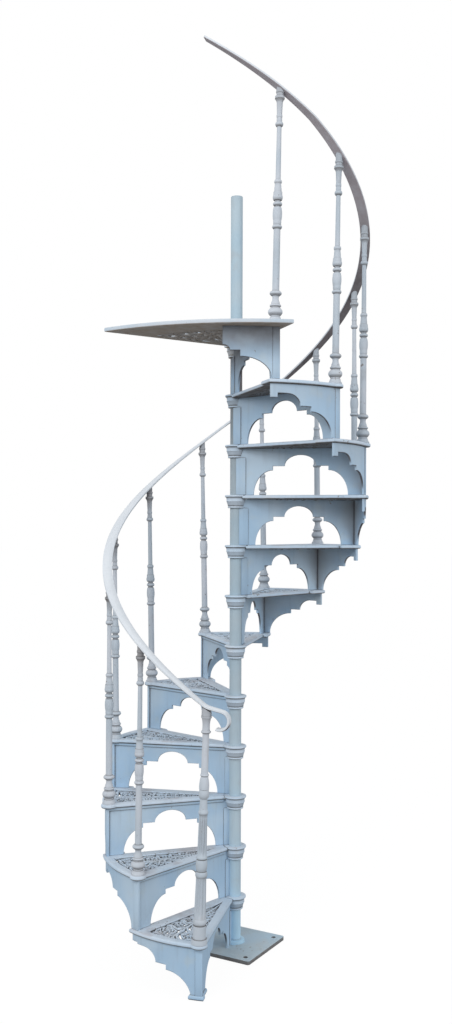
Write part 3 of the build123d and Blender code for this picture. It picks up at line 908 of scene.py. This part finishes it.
def weathered_paint(name, paint, faded, worn_and_highlight, grime_and_shade, chip, top_wear_and_highlight, underside_shade, chips, stains_and_painted_light):
    """Chalky old paint on cast iron: faded in patches, worn on top, where the handrail's paler top is
    also a painted highlight, and darker below and in hollows from grime and painted shade.

    A stain is where it lies, how strong it is there and its colour. Besides real stains, the list holds
    painted shade and painted light.
    """
    finish = Finish(bpy.data.materials.new(name))
    drift = finish.step(finish.noise(4.5, 3), 0.38, 0.66)
    mottle = finish.noise(34, 6)
    blotch = finish.step(finish.noise(13, 5), 0.56, 0.74)
    streaks = finish.step(finish.noise(55, 4, (1, 1, 0.07)), 0.52, 0.78)
    grain = finish.noise(380, 3)
    up = finish.upward()
    top = finish.step(up, 0.55, 0.95)
    below = finish.step(0 - up, 0.05, 0.65)
    hollow = finish.step(finish.hollows(0.012), 0.08, 0.5)
    tint = finish.mix(drift, paint, faded)
    tint = finish.mix(blotch * 0.4, tint, worn_and_highlight)
    tint = finish.mix(streaks * 0.1, tint, grime_and_shade)
    # Tops take the worn colour: real wear, and on the handrail a painted highlight as well.
    tint = finish.mix(top * (0.35 + mottle) * top_wear_and_highlight, tint, worn_and_highlight)
    # Undersides take the grime colour: grime together with painted shade under things.
    tint = finish.mix(below * (0.6 + mottle * 0.7) * underside_shade, tint, grime_and_shade)
    # Real stains, and painted shade and painted light at their own places.
    for mask, share, shade in stains_and_painted_light:
        tint = finish.mix(mask(finish) * share * (0.8 + mottle * 0.4), tint, shade)
    # Hollows take the grime colour: grime together with painted shade in recesses.
    tint = finish.mix(hollow * 0.8, tint, grime_and_shade)
    spots = finish.step(finish.noise(70, 7) + finish.noise(6, 2) * 0.5, 1.06 - chips, 1.12 - chips)
    tint = finish.mix(spots * 0.7, tint, chip)
    height = mottle * 0.5 + grain * 0.35 - spots * 0.3
    return finish.surface(tint, 0.6 + mottle * 0.2, height)


# Its stains are painted shade under the treads and under the landing.
frame_paint = weathered_paint(
    "frame_paint",
    paint=(174, 203, 228),
    faded=(190, 212, 230),
    worn_and_highlight=(194, 208, 214),
    grime_and_shade=(84, 80, 84),
    chip=(120, 106, 96),
    top_wear_and_highlight=0.5,
    underside_shade=1.0,
    chips=0.06,
    stains_and_painted_light=[(under_tread, 0.85, (150, 147, 144)), (landing_shade, 0.8, (106, 104, 106))],
)
# Its stains are painted shade under the landing and painted light at the pipe's foot.
column_paint = weathered_paint(
    "column_paint",
    paint=(180, 204, 218),
    faded=(190, 208, 218),
    worn_and_highlight=(182, 188, 192),
    grime_and_shade=(110, 108, 110),
    chip=(120, 106, 96),
    top_wear_and_highlight=0.4,
    underside_shade=0.7,
    chips=0.06,
    stains_and_painted_light=[(under_landing, 0.95, (100, 92, 90)), (column_foot_light, 0.9, (190, 226, 248))],
)
# Its stains are rust on the walked side and painted shade inside the grille.
tread_paint = weathered_paint(
    "tread_paint",
    paint=(196, 216, 234),
    faded=(210, 224, 238),
    worn_and_highlight=(214, 218, 222),
    grime_and_shade=(84, 78, 74),
    chip=(112, 98, 86),
    top_wear_and_highlight=0.35,
    underside_shade=1.0,
    chips=0.1,
    stains_and_painted_light=[(rusty_patch, 0.3, (150, 122, 112)), (grille_shade, 0.95, (46, 42, 42))],
)
# Its stain is painted shade inside the grille.
landing_paint = weathered_paint(
    "landing_paint",
    paint=(194, 208, 220),
    faded=(208, 216, 224),
    worn_and_highlight=(206, 206, 204),
    grime_and_shade=(150, 138, 126),
    chip=(112, 98, 86),
    top_wear_and_highlight=0.35,
    underside_shade=1.0,
    chips=0.1,
    stains_and_painted_light=[(grille_shade, 0.95, (46, 42, 42))],
)
baluster_paint = weathered_paint(
    "baluster_paint",
    paint=(190, 201, 211),
    faded=(206, 212, 220),
    worn_and_highlight=(160, 158, 158),
    grime_and_shade=(104, 99, 96),
    chip=(112, 98, 88),
    top_wear_and_highlight=0.5,
    underside_shade=0.6,
    chips=0.1,
    stains_and_painted_light=[(baluster_head, 0.65, (118, 110, 106))],
)
# Its paler top is partly a painted highlight, and its stain is painted shade under the lower stretch of
# rail.
handrail_paint = weathered_paint(
    "handrail_paint",
    paint=(216, 223, 230),
    faded=(226, 232, 238),
    worn_and_highlight=(238, 242, 246),
    grime_and_shade=(176, 168, 172),
    chip=(140, 126, 116),
    top_wear_and_highlight=0.9,
    underside_shade=1.0,
    chips=0.04,
    stains_and_painted_light=[(rail_underside_shade, 0.75, (92, 86, 86))],
)
base_paint = weathered_paint(
    "base_paint",
    paint=(176, 206, 226),
    faded=(188, 208, 218),
    worn_and_highlight=(190, 194, 194),
    grime_and_shade=(96, 86, 76),
    chip=(118, 96, 78),
    top_wear_and_highlight=0.35,
    underside_shade=0.7,
    chips=0.12,
    stains_and_painted_light=[(plate_edge, 0.8, (104, 90, 80))],
)


# The base plate and column


def base_mesh():
    """The square plate with its four bolt holes, turned to its place."""
    inner = BASE_SIDE / 2 - BASE_CORNER_RADIUS
    reach = BOLT_CIRCLE_RADIUS / math.sqrt(2)
    corner = (BASE_CORNER_RADIUS, BASE_CORNER_RADIUS)
    hole = (BOLT_HOLE_RADIUS, BOLT_HOLE_RADIUS)
    last_side = 360 - 360 / BOLT_HOLE_SIDES
    outline = []
    holes = []
    for i, (x, y) in enumerate(((1, 1), (-1, 1), (-1, -1), (1, -1))):
        outline += arc((x * inner, y * inner), corner, 90 * i, 90 * i + 90, 5)
        holes.append(arc((x * reach, y * reach), hole, 0, last_side, BOLT_HOLE_SIDES - 1))
    shape = flat_casting([outline, *holes], BASE_THICKNESS, BASE_ROUNDING)
    turn = Matrix.Rotation(math.radians(BASE_TURN), 4, "Z")
    raised = Matrix.Translation((0, 0, BASE_THICKNESS))
    bmesh.ops.transform(shape, matrix=raised @ turn, verts=shape.verts)
    return finished_mesh(shape, "base_plate")


def column_mesh():
    """The pipe with its low boss, open at the top, with a small lip at its cut end."""
    boss_top = BASE_THICKNESS + BOSS_HEIGHT
    bore = PIPE_RADIUS - PIPE_WALL
    profile = [
        (bore, BASE_THICKNESS),
        (BOSS_RADIUS, BASE_THICKNESS),
        (BOSS_RADIUS, boss_top - BOSS_ROUNDING),
        (BOSS_RADIUS - EDGE_CUT, boss_top - EDGE_CUT),
        (BOSS_RADIUS - BOSS_ROUNDING, boss_top),
        (PIPE_RADIUS + BOSS_ROUNDING, boss_top),
        (PIPE_RADIUS + EDGE_CUT, boss_top + EDGE_CUT),
        (PIPE_RADIUS, boss_top + BOSS_ROUNDING),
    ]
    for i in range(1, PIPE_RINGS):
        profile.append((PIPE_RADIUS, boss_top + (COLUMN_TOP - boss_top) * i / PIPE_RINGS))
    profile += [
        (PIPE_RADIUS, COLUMN_TOP - EDGE_CUT),
        (PIPE_RADIUS - EDGE_CUT, COLUMN_TOP),
        (bore + EDGE_CUT / 2, COLUMN_TOP),
        (bore, COLUMN_TOP - EDGE_CUT),
        (bore, BASE_THICKNESS),
    ]
    return finished_mesh(turning(profile, ROUND_SIDES), "centre_column")


piece("base_plate_finish", base_mesh(), ["base_plate"], base_paint)
piece("centre_column_finish", column_mesh(), ["centre_column"], column_paint)


# The treads and landing


def collar_shape():
    """The sleeve of a tread round the pipe, with its lip, moulded neck and foot."""
    neck_drop = COLLAR_HEIGHT - COLLAR_FOOT
    profile = [
        (COLLAR_BORE, -EDGE_CUT / 2),
        (COLLAR_BORE + EDGE_CUT / 2, 0),
        (COLLAR_RADIUS - COLLAR_ROUNDING, 0),
        (COLLAR_RADIUS - COLLAR_ROUND_CUT, -COLLAR_ROUND_CUT),
        (COLLAR_RADIUS, -COLLAR_ROUNDING),
        (COLLAR_RADIUS, COLLAR_UNDERCUT - COLLAR_LIP),
        (COLLAR_RADIUS - COLLAR_UNDERCUT, -COLLAR_LIP),
    ]
    profile += [(radius / 1000, -drop / 1000) for radius, drop in COLLAR_MOULDING]
    profile += [
        (COLLAR_FOOT_RADIUS - EDGE_CUT, -neck_drop),
        (COLLAR_FOOT_RADIUS, -neck_drop - EDGE_CUT),
        (COLLAR_FOOT_RADIUS, EDGE_CUT - COLLAR_HEIGHT),
        (COLLAR_FOOT_RADIUS - EDGE_CUT, -COLLAR_HEIGHT),
        (COLLAR_BORE, -COLLAR_HEIGHT),
        (COLLAR_BORE, -EDGE_CUT / 2),
    ]
    return turning(profile, ROUND_SIDES)


def curl_points(centre, size, start, way):
    """The middle line of one curl, from the stem in to its eye, with its taper."""
    points = []
    for i in range(CURL_POINTS + 1):
        share = i / CURL_POINTS
        angle = math.radians(start) + way * share * SCROLL_TURNS * 2 * math.pi
        radius = size * (1 - (1 - EYE_SHARE) * share**2)
        x = centre[0] + radius * math.cos(angle)
        y = centre[1] + radius * math.sin(angle)
        points.append((x, y, 1 - EYE_SHARE * share))
    return points


def leaf_points(start, direction, length, bend):
    """The middle line of one leaf, full in the middle and pointed at its tip."""
    points = []
    for i in range(LEAF_POINTS + 1):
        share = i / LEAF_POINTS
        angle = math.radians(direction + bend * share)
        x = start[0] + length * share * math.cos(angle)
        y = start[1] + length * share * math.sin(angle)
        swell = math.sin(math.pi * min(1, share * LEAF_SPREAD + LEAF_ROOT))
        points.append((x, y, LEAF_TIP + LEAF_SWELL * swell))
    return points


def stem_points(apex, along, far):
    """The middle line of a straight bar, from a bay's apex out."""
    points = []
    for i in range(STEM_POINTS + 1):
        x, y = Vector(apex) + along * far * i / STEM_POINTS
        points.append((x, y, STEM_WIDTH))
    return points


def scroll_layout(apex, direction, half_angle, near, far):
    """The curls of one bay: pairs on a stem, growing as they go out."""
    turn = math.radians(direction)
    along = (math.cos(turn), math.sin(turn))
    across = (-along[1], along[0])
    share = math.tan(math.radians(half_angle)) / 2
    distance = near
    curls = []
    while distance < far:
        size = distance * share / (1 - share)
        distance = distance + size
        if distance + size > far + CURL_SPARE:
            break
        for side in (1, -1):
            x = apex[0] + along[0] * distance + across[0] * side * size
            y = apex[1] + along[1] * distance + across[1] * side * size
            curls.append(((x, y), size, side))
        distance = distance + size - CURL_LAP
    return curls


def scroll_bars(apex, direction, half_angle, near, far):
    """The bars of one bay: its stem, curls, eyes and leaves, as tapering lines."""
    along = heading(direction)
    lines = [stem_points(apex, along, far)]
    for centre, size, side in scroll_layout(apex, direction, half_angle, near, far):
        curl = curl_points(centre, size, direction - side * 90, side)
        lines.append(curl)
        x, y = curl[-1][:2]
        lines.append([(x - EYE_HALF_LENGTH, y, EYE_WIDTH), (x + EYE_HALF_LENGTH, y, EYE_WIDTH)])
        if size > LEAFY_CURL:
            for ahead, lean, length, bend in CURL_LEAVES:
                root = Vector(centre) + along * size * ahead
                lines.append(leaf_points(root, direction + side * lean, size * length, side * bend))
    return lines


def dense(line, gap):
    """Points about a gap apart along a line."""
    points = []
    for here, there in zip(line, line[1:]):
        count = max(1, round(math.dist(here[:2], there[:2]) / gap))
        points += [Vector(here[:2]).lerp(Vector(there[:2]), i / count) for i in range(count)]
    return points + [Vector(line[-1][:2])]


def inside(point, outline):
    """Whether a point lies inside an outline."""
    within = False
    for here, there in zip(outline, outline[1:] + outline[:1]):
        if (here[1] > point[1]) != (there[1] > point[1]):
            across = (there[0] - here[0]) * (point[1] - here[1]) / (there[1] - here[1])
            within = within != (point[0] < here[0] + across)
    return within


def nearest(point, others):
    return min(others, key=lambda other: (other - point).length_squared)


def filling_leaves(lines, outline, least):
    """Small leaves that grow from the bars and the border into the gaps between them."""
    taken = dense([*outline, outline[0]], OUTLINE_STEP)
    for line in lines:
        taken += dense(line, BAR_STEP)
    low_x = min(point[0] for point in outline)
    low_y = min(point[1] for point in outline)
    width = max(point[0] for point in outline) - low_x
    depth = max(point[1] for point in outline) - low_y
    free = []
    for i in range(int(width / FILLER_GRID)):
        for j in range(int(depth / FILLER_GRID)):
            point = Vector((low_x + FILLER_GRID * (i + 0.5), low_y + FILLER_GRID * (j + 0.5)))
            if inside(point, outline):
                root = nearest(point, taken)
                free.append([(point - root).length, point, root])
    leaves = []
    while free:
        reach, tip, root = max(free, key=lambda item: item[0])
        if reach < least:
            break
        side = Vector((root.y - tip.y, tip.x - root.x)) * FILLER_BEND
        last = len(FILLER_WIDTHS) - 1
        leaf = []
        for i, share in enumerate(FILLER_WIDTHS):
            point = root.lerp(tip, i / last) + side * math.sin(math.pi * i / last)
            leaf.append((point.x, point.y, share))
        leaves.append(leaf)
        grown = dense(leaf, FILLER_STEP)
        for item in free:
            closest = nearest(item[1], grown)
            gap = (item[1] - closest).length
            if gap < item[0]:
                item[0] = gap
                item[2] = closest
        free = [item for item in free if item[0] >= least]
    return leaves


def relief(lines):
    """Flattened bars along tapering lines, just below the top."""
    curve = bpy.data.curves.new("relief", "CURVE")
    curve.dimensions = "3D"
    curve.bevel_depth = SCROLL_BAR
    curve.bevel_resolution = 1
    curve.use_fill_caps = True
    for line in lines:
        spline = curve.splines.new("POLY")
        spline.points.add(len(line) - 1)
        for point, (x, y, share) in zip(spline.points, line):
            point.co = (x, y, 0, 1)
            point.radius = share
    shape = shape_of_curve(curve)
    bmesh.ops.scale(shape, vec=(1, 1, SCROLL_FLATTEN), verts=shape.verts)
    bmesh.ops.translate(shape, vec=(0, 0, -SCROLL_DEPTH), verts=shape.verts)
    return shape


def tread_mesh():
    """A tread drawn as a step: its rim, its scrollwork and its collar."""
    rear = REAR_BORDER - REAR_LAP
    apex = wedge_apex(0, -STEP_ANGLE, FRONT_BORDER, rear)
    far = TREAD_RADIUS - OUTER_BORDER - Vector(apex).length
    shape = flat_casting([tread_outline(), tread_opening()], RIM_HEIGHT, TREAD_ROUNDING)
    lines = scroll_bars(apex, -STEP_ANGLE / 2, STEP_ANGLE / 2, SCROLL_NEAR, far)
    lines += filling_leaves(lines, tread_opening(), FILLER_LEAST)
    add(shape, relief(lines))
    add(shape, collar_shape())
    return finished_mesh(shape, "tread")


def landing_mesh():
    """The landing drawn as a step: three bays of scrollwork with a bar between each two."""
    start, end = landing_span()
    apex = wedge_apex(start, end, LANDING_FRONT_BORDER, LANDING_SIDE_BORDER)
    bay = (start - end) / LANDING_BAYS
    far = LANDING_OPENING_RADIUS - Vector(apex).length
    outlines = [landing_outline(), landing_opening()]
    shape = flat_casting(outlines, LANDING_THICKNESS, LANDING_ROUNDING)
    lines = []
    for i in range(LANDING_BAYS):
        lines += scroll_bars(apex, start - bay * (i + 0.5), bay / 2, LANDING_SCROLL_NEAR, far)
        if i:
            lines.append(stem_points(apex, heading(start - bay * i), far))
    lines += filling_leaves(lines, landing_opening(), LANDING_FILLER_LEAST)
    add(shape, relief(lines))
    add(shape, collar_shape())
    return finished_mesh(shape, "landing")


tread = tread_mesh()
for step in range(1, TREAD_COUNT + 1):
    step_piece("tread_finish", tread, step, "tread", tread_paint)
landing = landing_mesh()
landing.transform(step_place(TREAD_COUNT + 1))
piece("landing_finish", landing, ["landing"], landing_paint)


# The risers with their strings


def riser_shape():
    """The arched plate under a nosing, run in to the pipe, with its rib and its bead."""
    shape = flat_casting([riser_outline()], RISER_THICKNESS, CASTING_ROUNDING)
    upright = Matrix.Rotation(math.radians(90), 4, "X")
    back = Matrix.Translation((0, -RISER_SETBACK - RISER_THICKNESS, 0))
    bmesh.ops.transform(shape, matrix=back @ upright, verts=shape.verts)
    front = -RISER_SETBACK
    middle = front - RISER_THICKNESS / 2
    half_rib = RISER_THICKNESS / 2 + RIB_PROUD
    low = (0, middle - half_rib, -RISE)
    high = (RIB_END, middle + half_rib, -COLLAR_HEIGHT)
    add(shape, rounded_bar(low, high, RIB_ROUNDING))
    trim(shape, (RISER_MITRE, 0, 0), (-1, 1, 0))
    low = (COLLAR_RADIUS, front - BEAD_SINK, -BEAD_DROP)
    high = (BEAD_END, front + BEAD_PROUD, -RIM_HEIGHT)
    add(shape, rounded_bar(low, high, STRIP_ROUNDING))
    return shape


def string_shape(outline):
    """The scalloped string, cut flat and bent round to the treads' rim."""
    shape = flat_casting([outline], STRING_THICKNESS, CASTING_ROUNDING)
    length = max(point[0] for point in outline)
    for i in range(1, STRING_CUTS):
        cut(shape, (length * i / STRING_CUTS, 0, 0), (1, 0, 0))
    for vert in shape.verts:
        turn = -vert.co.x / STRING_RADIUS
        radius = STRING_RADIUS + vert.co.z
        vert.co = (radius * math.cos(turn), radius * math.sin(turn), vert.co.y)
    return shape


def corner_shape():
    """The raised strip down the outer corner of a riser."""
    half = CORNER_WIDTH / 2
    low = (STRING_RADIUS - STRING_THICKNESS, -half, -RISE)
    high = (STRING_RADIUS + CORNER_PROUD, half, -RIM_HEIGHT)
    shape = rounded_bar(low, high, STRIP_ROUNDING)
    turn = -(STRING_SETBACK + half) / STRING_RADIUS
    bmesh.ops.rotate(shape, matrix=Matrix.Rotation(turn, 3, "Z"), verts=shape.verts)
    return shape


def pad_shape():
    """The cushion that the first riser's outer leg stands on."""
    back = -RISER_SETBACK - RISER_THICKNESS - PAD_PROUD
    front = PAD_PROUD - RISER_SETBACK
    inner = STRING_RADIUS - STRING_THICKNESS - PAD_PROUD
    outer = STRING_RADIUS + PAD_PROUD
    outline = [(PAD_START, front), (PAD_START, back)]
    outline += ring_arc(inner, -math.degrees(math.asin(-back / inner)), -PAD_END_ANGLE, 4)
    outline += ring_arc(outer, -PAD_END_ANGLE, 0, 8)
    outline += [(inner, 0), (inner, front)]
    shape = flat_casting([outline], PAD_HEIGHT, PAD_ROUNDING)
    bmesh.ops.translate(shape, vec=(0, 0, PAD_HEIGHT - RISE), verts=shape.verts)
    return shape


def riser_mesh(outline, with_pad=False):
    """A riser, its string and its corner strip, drawn as a step."""
    shape = riser_shape()
    add(shape, string_shape(outline))
    add(shape, corner_shape())
    if with_pad:
        add(shape, pad_shape())
    return finished_mesh(shape, "riser")


riser = riser_mesh(string_outline(NOSE_DROP))
first_riser = riser_mesh(string_outline(FIRST_NOSE_DROP), with_pad=True)
last_riser = riser_mesh(last_string_outline())
for step in range(1, TREAD_COUNT + 2):
    mesh = riser
    if step == 1:
        mesh = first_riser
    if step > TREAD_COUNT:
        mesh = last_riser
    step_piece("riser_finish", mesh, step, "riser", frame_paint)


# The balusters


def turned_profile(turnings):
    """The (radius, height) points of a list of turnings, with rounded swells."""
    profile = [(turnings[0][1] / 1000, -FOOT_STUB)]
    spacing = RING_SPACING * 1000
    level = 0
    for top, below, above, swell in turnings:
        count = SWELL_POINTS if swell else max(1, round((top - level) / spacing))
        for i in range(count + 1):
            share = i / count
            radius = below + (above - below) * share + swell * 4 * share * (1 - share)
            profile.append((radius / 1000, (level + (top - level) * share) / 1000))
        level = top
    return profile


def flute(shape):
    """Hollows the newel's two shafts with upright flutes that fade at their ends."""
    for vert in shape.verts:
        for low, high in FLUTED_SPANS:
            if low < vert.co.z < high:
                fade = min(1, (vert.co.z - low) / FLUTE_FADE, (high - vert.co.z) / FLUTE_FADE)
                turn = math.atan2(vert.co.y, vert.co.x)
                depth = FLUTE_DEPTH * fade * abs(math.sin(FLUTE_COUNT * turn / 2))
                radius = vert.co.xy.length
                vert.co.x *= 1 - depth / radius
                vert.co.y *= 1 - depth / radius


def baluster_mesh(step):
    """A baluster turned, tilted to the handrail and cut to its underside."""
    turnings = NEWEL_TURNING if step == 1 else STANDARD_TURNING
    slope = HEAD_SLOPE if step > TREAD_COUNT else MAIN_SLOPE
    shape = turning(turned_profile(turnings), NEWEL_SIDES if step == 1 else BALUSTER_SIDES)
    if step == 1:
        flute(shape)
    angle = top_angle(step)
    foot = place(BALUSTER_BASE_RADIUS, baluster_angle(step), RISE * step)
    top = rail_point(angle)
    up_post = shape.verts.layers.float.new("up_post")
    for vert in shape.verts:
        vert[up_post] = vert.co.z
    tilt = (top - foot).to_track_quat("Z", "Y").to_matrix().to_4x4()
    bmesh.ops.transform(shape, matrix=Matrix.Translation(foot) @ tilt, verts=shape.verts)
    trim(shape, foot, (0, 0, -1))
    pitches = [rail_pitch(slope)]
    if step == 1:
        pitches.append(math.radians(VOLUTE_SLOPE))
    for pitch in pitches:
        square = square_to_rail(angle, pitch)
        trim(shape, top - square * (RAIL_THICKNESS / 2 + RAIL_GAP), square)
    return finished_mesh(shape, "baluster", BALUSTER_SHARP_ANGLE)


for step in range(1, TREAD_COUNT + 2):
    name = f"baluster_finish_{step:02d}"
    piece(name, baluster_mesh(step), [f"baluster_{step:02d}"], baluster_paint)


# The handrail


def rail_section(shape, angle):
    """The handrail's section at a plan angle, as a ring of edges square to its slope."""
    centre = rail_point(angle)
    square = square_to_rail(angle, rail_pitch(MAIN_SLOPE))
    half = RAIL_WIDTH / 2
    low = -RAIL_THICKNESS / 2
    high = RAIL_THICKNESS / 2
    side = high - RAIL_CROWN
    points = [(-half, side), (-half, low + RAIL_EDGE_CUT), (-half + RAIL_EDGE_CUT, low)]
    points += [(half - RAIL_EDGE_CUT, low), (half, low + RAIL_EDGE_CUT), (half, side)]
    for i in range(1, RAIL_CROWN_POINTS):
        share = i / RAIL_CROWN_POINTS
        points.append((half - RAIL_WIDTH * share, side + RAIL_CROWN * 4 * share * (1 - share)))
    verts = [shape.verts.new(centre + outward(angle) * x + square * z) for x, z in points]
    return [shape.edges.new((verts[i - 1], verts[i])) for i in range(len(verts))]


def sweep_on(shape, edges, **turn):
    """Sweeps a section on from where it stands. The new end's edges are given back."""
    swept = bmesh.ops.spin(shape, geom=edges, use_merge=False, use_duplicate=False, **turn)
    return edges_in(swept["geom_last"])


def climb_on(shape, edges, angle, slope, steps):
    """Sweeps a section on round the column through a plan angle, rising as it goes."""
    rise = (0, 0, angle * slope / steps)
    turn = -math.radians(angle)
    return sweep_on(shape, edges, cent=(0, 0, 0), axis=(0, 0, 1), dvec=rise, angle=turn, steps=steps)


def lead_down(shape, section, start, ease, run):
    """Eases the rail's lower end to the volute's slope, runs it straight on and curls it under."""
    axis = outward(start)
    pivot = rail_point(start) + square_to_rail(start, rail_pitch(MAIN_SLOPE)) * EASING_RADIUS
    ends = sweep_on(shape, section, cent=pivot, axis=axis, angle=ease, steps=EASING_STEPS)
    slope = math.radians(VOLUTE_SLOPE)
    downhill = -uphill(start) * math.cos(slope) - Vector((0, 0, 1)) * math.sin(slope)
    moved = bmesh.ops.extrude_edge_only(shape, edges=ends)["geom"]
    verts = [item for item in moved if isinstance(item, bmesh.types.BMVert)]
    bmesh.ops.translate(shape, vec=downhill * run, verts=verts)
    ends = [edge for edge in edges_in(moved) if edge.is_boundary]
    middle = sum((vert.co for vert in verts), Vector()) / len(verts)
    pivot = middle - square_to_rail(start, slope) * VOLUTE_RADIUS
    turn = -math.radians(VOLUTE_TURN)
    ends = sweep_on(shape, ends, cent=pivot, axis=axis, angle=turn, steps=VOLUTE_STEPS)
    bmesh.ops.holes_fill(shape, edges=ends, sides=0)


def handrail_mesh():
    """The whole handrail: climbing main stretch, slacker head, and eased curl at its lower end."""
    shape = bmesh.new()
    pitch = rail_pitch(MAIN_SLOPE)
    ease = pitch - math.radians(VOLUTE_SLOPE)
    lead = EASING_RADIUS * math.tan(ease / 2)
    degree_length = MAIN_SLOPE / math.sin(pitch)
    start = top_angle(1) + lead / degree_length
    section = rail_section(shape, start)
    ends = climb_on(shape, section, HEAD_START - start, MAIN_SLOPE, RAIL_STEPS)
    top = climb_on(shape, ends, HEAD_ANGLE, HEAD_SLOPE, HEAD_STEPS)
    bmesh.ops.holes_fill(shape, edges=top, sides=0)
    lead_down(shape, section, start, ease, VOLUTE_RUN - lead)
    return finished_mesh(shape, "handrail")


rails = ["handrail", "handrail_head", "handrail_volute"]
piece("handrail_finish", handrail_mesh(), rails, handrail_paint)


# The floor, the light and the camera


def studio_white():
    """Pale ground that the camera sees as white, and that keeps a soft shadow."""
    finish = Finish(bpy.data.materials.new("floor_white"))
    shader = finish.nodes["Principled BSDF"]
    finish.feed(shader, "Base Color", colour(FLOOR_SHADE))
    finish.feed(shader, "Roughness", 0.9)
    glowing = finish.node("ShaderNodeEmission", {}, {"Color": WHITE, "Strength": FLOOR_GLOW})
    glow = finish.seen_by("Is Camera Ray") * FLOOR_GLOW_SHARE
    plain = Value(finish, shader.outputs["BSDF"])
    mixed = finish.node("ShaderNodeMixShader", {}, [glow, plain, glowing])
    finish.feed(finish.nodes["Material Output"], "Surface", mixed)
    return finish.owner


def make_floor():
    shape = bmesh.new()
    bmesh.ops.create_circle(shape, cap_ends=True, segments=96, radius=FLOOR_RADIUS)
    mesh = bpy.data.meshes.new("floor")
    shape.to_mesh(mesh)
    shape.free()
    mesh.materials.append(studio_white())
    floor = bpy.data.objects.new("floor", mesh)
    bpy.context.scene.collection.objects.link(floor)


def make_world():
    """Even studio light, seen as plain white by the camera, in reflections and through glass."""
    world = bpy.data.worlds.new("studio")
    bpy.context.scene.world = world
    sky = Finish(world)
    ground = sky.nodes["Background"]
    sky.feed(ground, "Color", SKY_TINT)
    sky.feed(ground, "Strength", SKY_STRENGTH)
    seen = sky.seen_by("Is Camera Ray")
    for ray in ("Is Glossy Ray", "Is Transmission Ray"):
        seen = sky.maths("MAXIMUM", seen, sky.seen_by(ray))
    plain = Value(sky, ground.outputs["Background"])
    white = sky.node("ShaderNodeBackground", {}, {"Color": WHITE})
    mixed = sky.node("ShaderNodeMixShader", {}, [seen, plain, white])
    sky.feed(sky.nodes["World Output"], "Surface", mixed)


def make_lamp(name, at, target, power):
    lamp = bpy.data.lights.new(name, "AREA")
    lamp.size = LAMP_SIZE
    lamp.energy = power
    holder = bpy.data.objects.new(name, lamp)
    holder.location = at
    holder.rotation_euler = (Vector(target) - Vector(at)).to_track_quat("-Z", "Y").to_euler()
    bpy.context.scene.collection.objects.link(holder)


def make_camera():
    camera = bpy.data.cameras.new("photo_view")
    camera.sensor_width = CAMERA_SENSOR
    camera.lens = CAMERA_LENS
    camera.shift_x, camera.shift_y = CAMERA_SHIFT
    camera.clip_end = CAMERA_REACH
    holder = bpy.data.objects.new("photo_view", camera)
    holder.location = CAMERA_PLACE
    holder.rotation_euler = (math.radians(90), CAMERA_ROLL, 0)
    bpy.context.scene.collection.objects.link(holder)
    bpy.context.scene.camera = holder


make_floor()
make_world()
make_lamp("key", at=(-3.0, -5.0, 4.5), target=(0, 0, 1.6), power=KEY_POWER)
make_lamp("fill", at=(4.5, -3.0, 2.5), target=(0, 0, 1.8), power=FILL_POWER)
make_camera()
bpy.context.scene.view_settings.view_transform = "Standard"
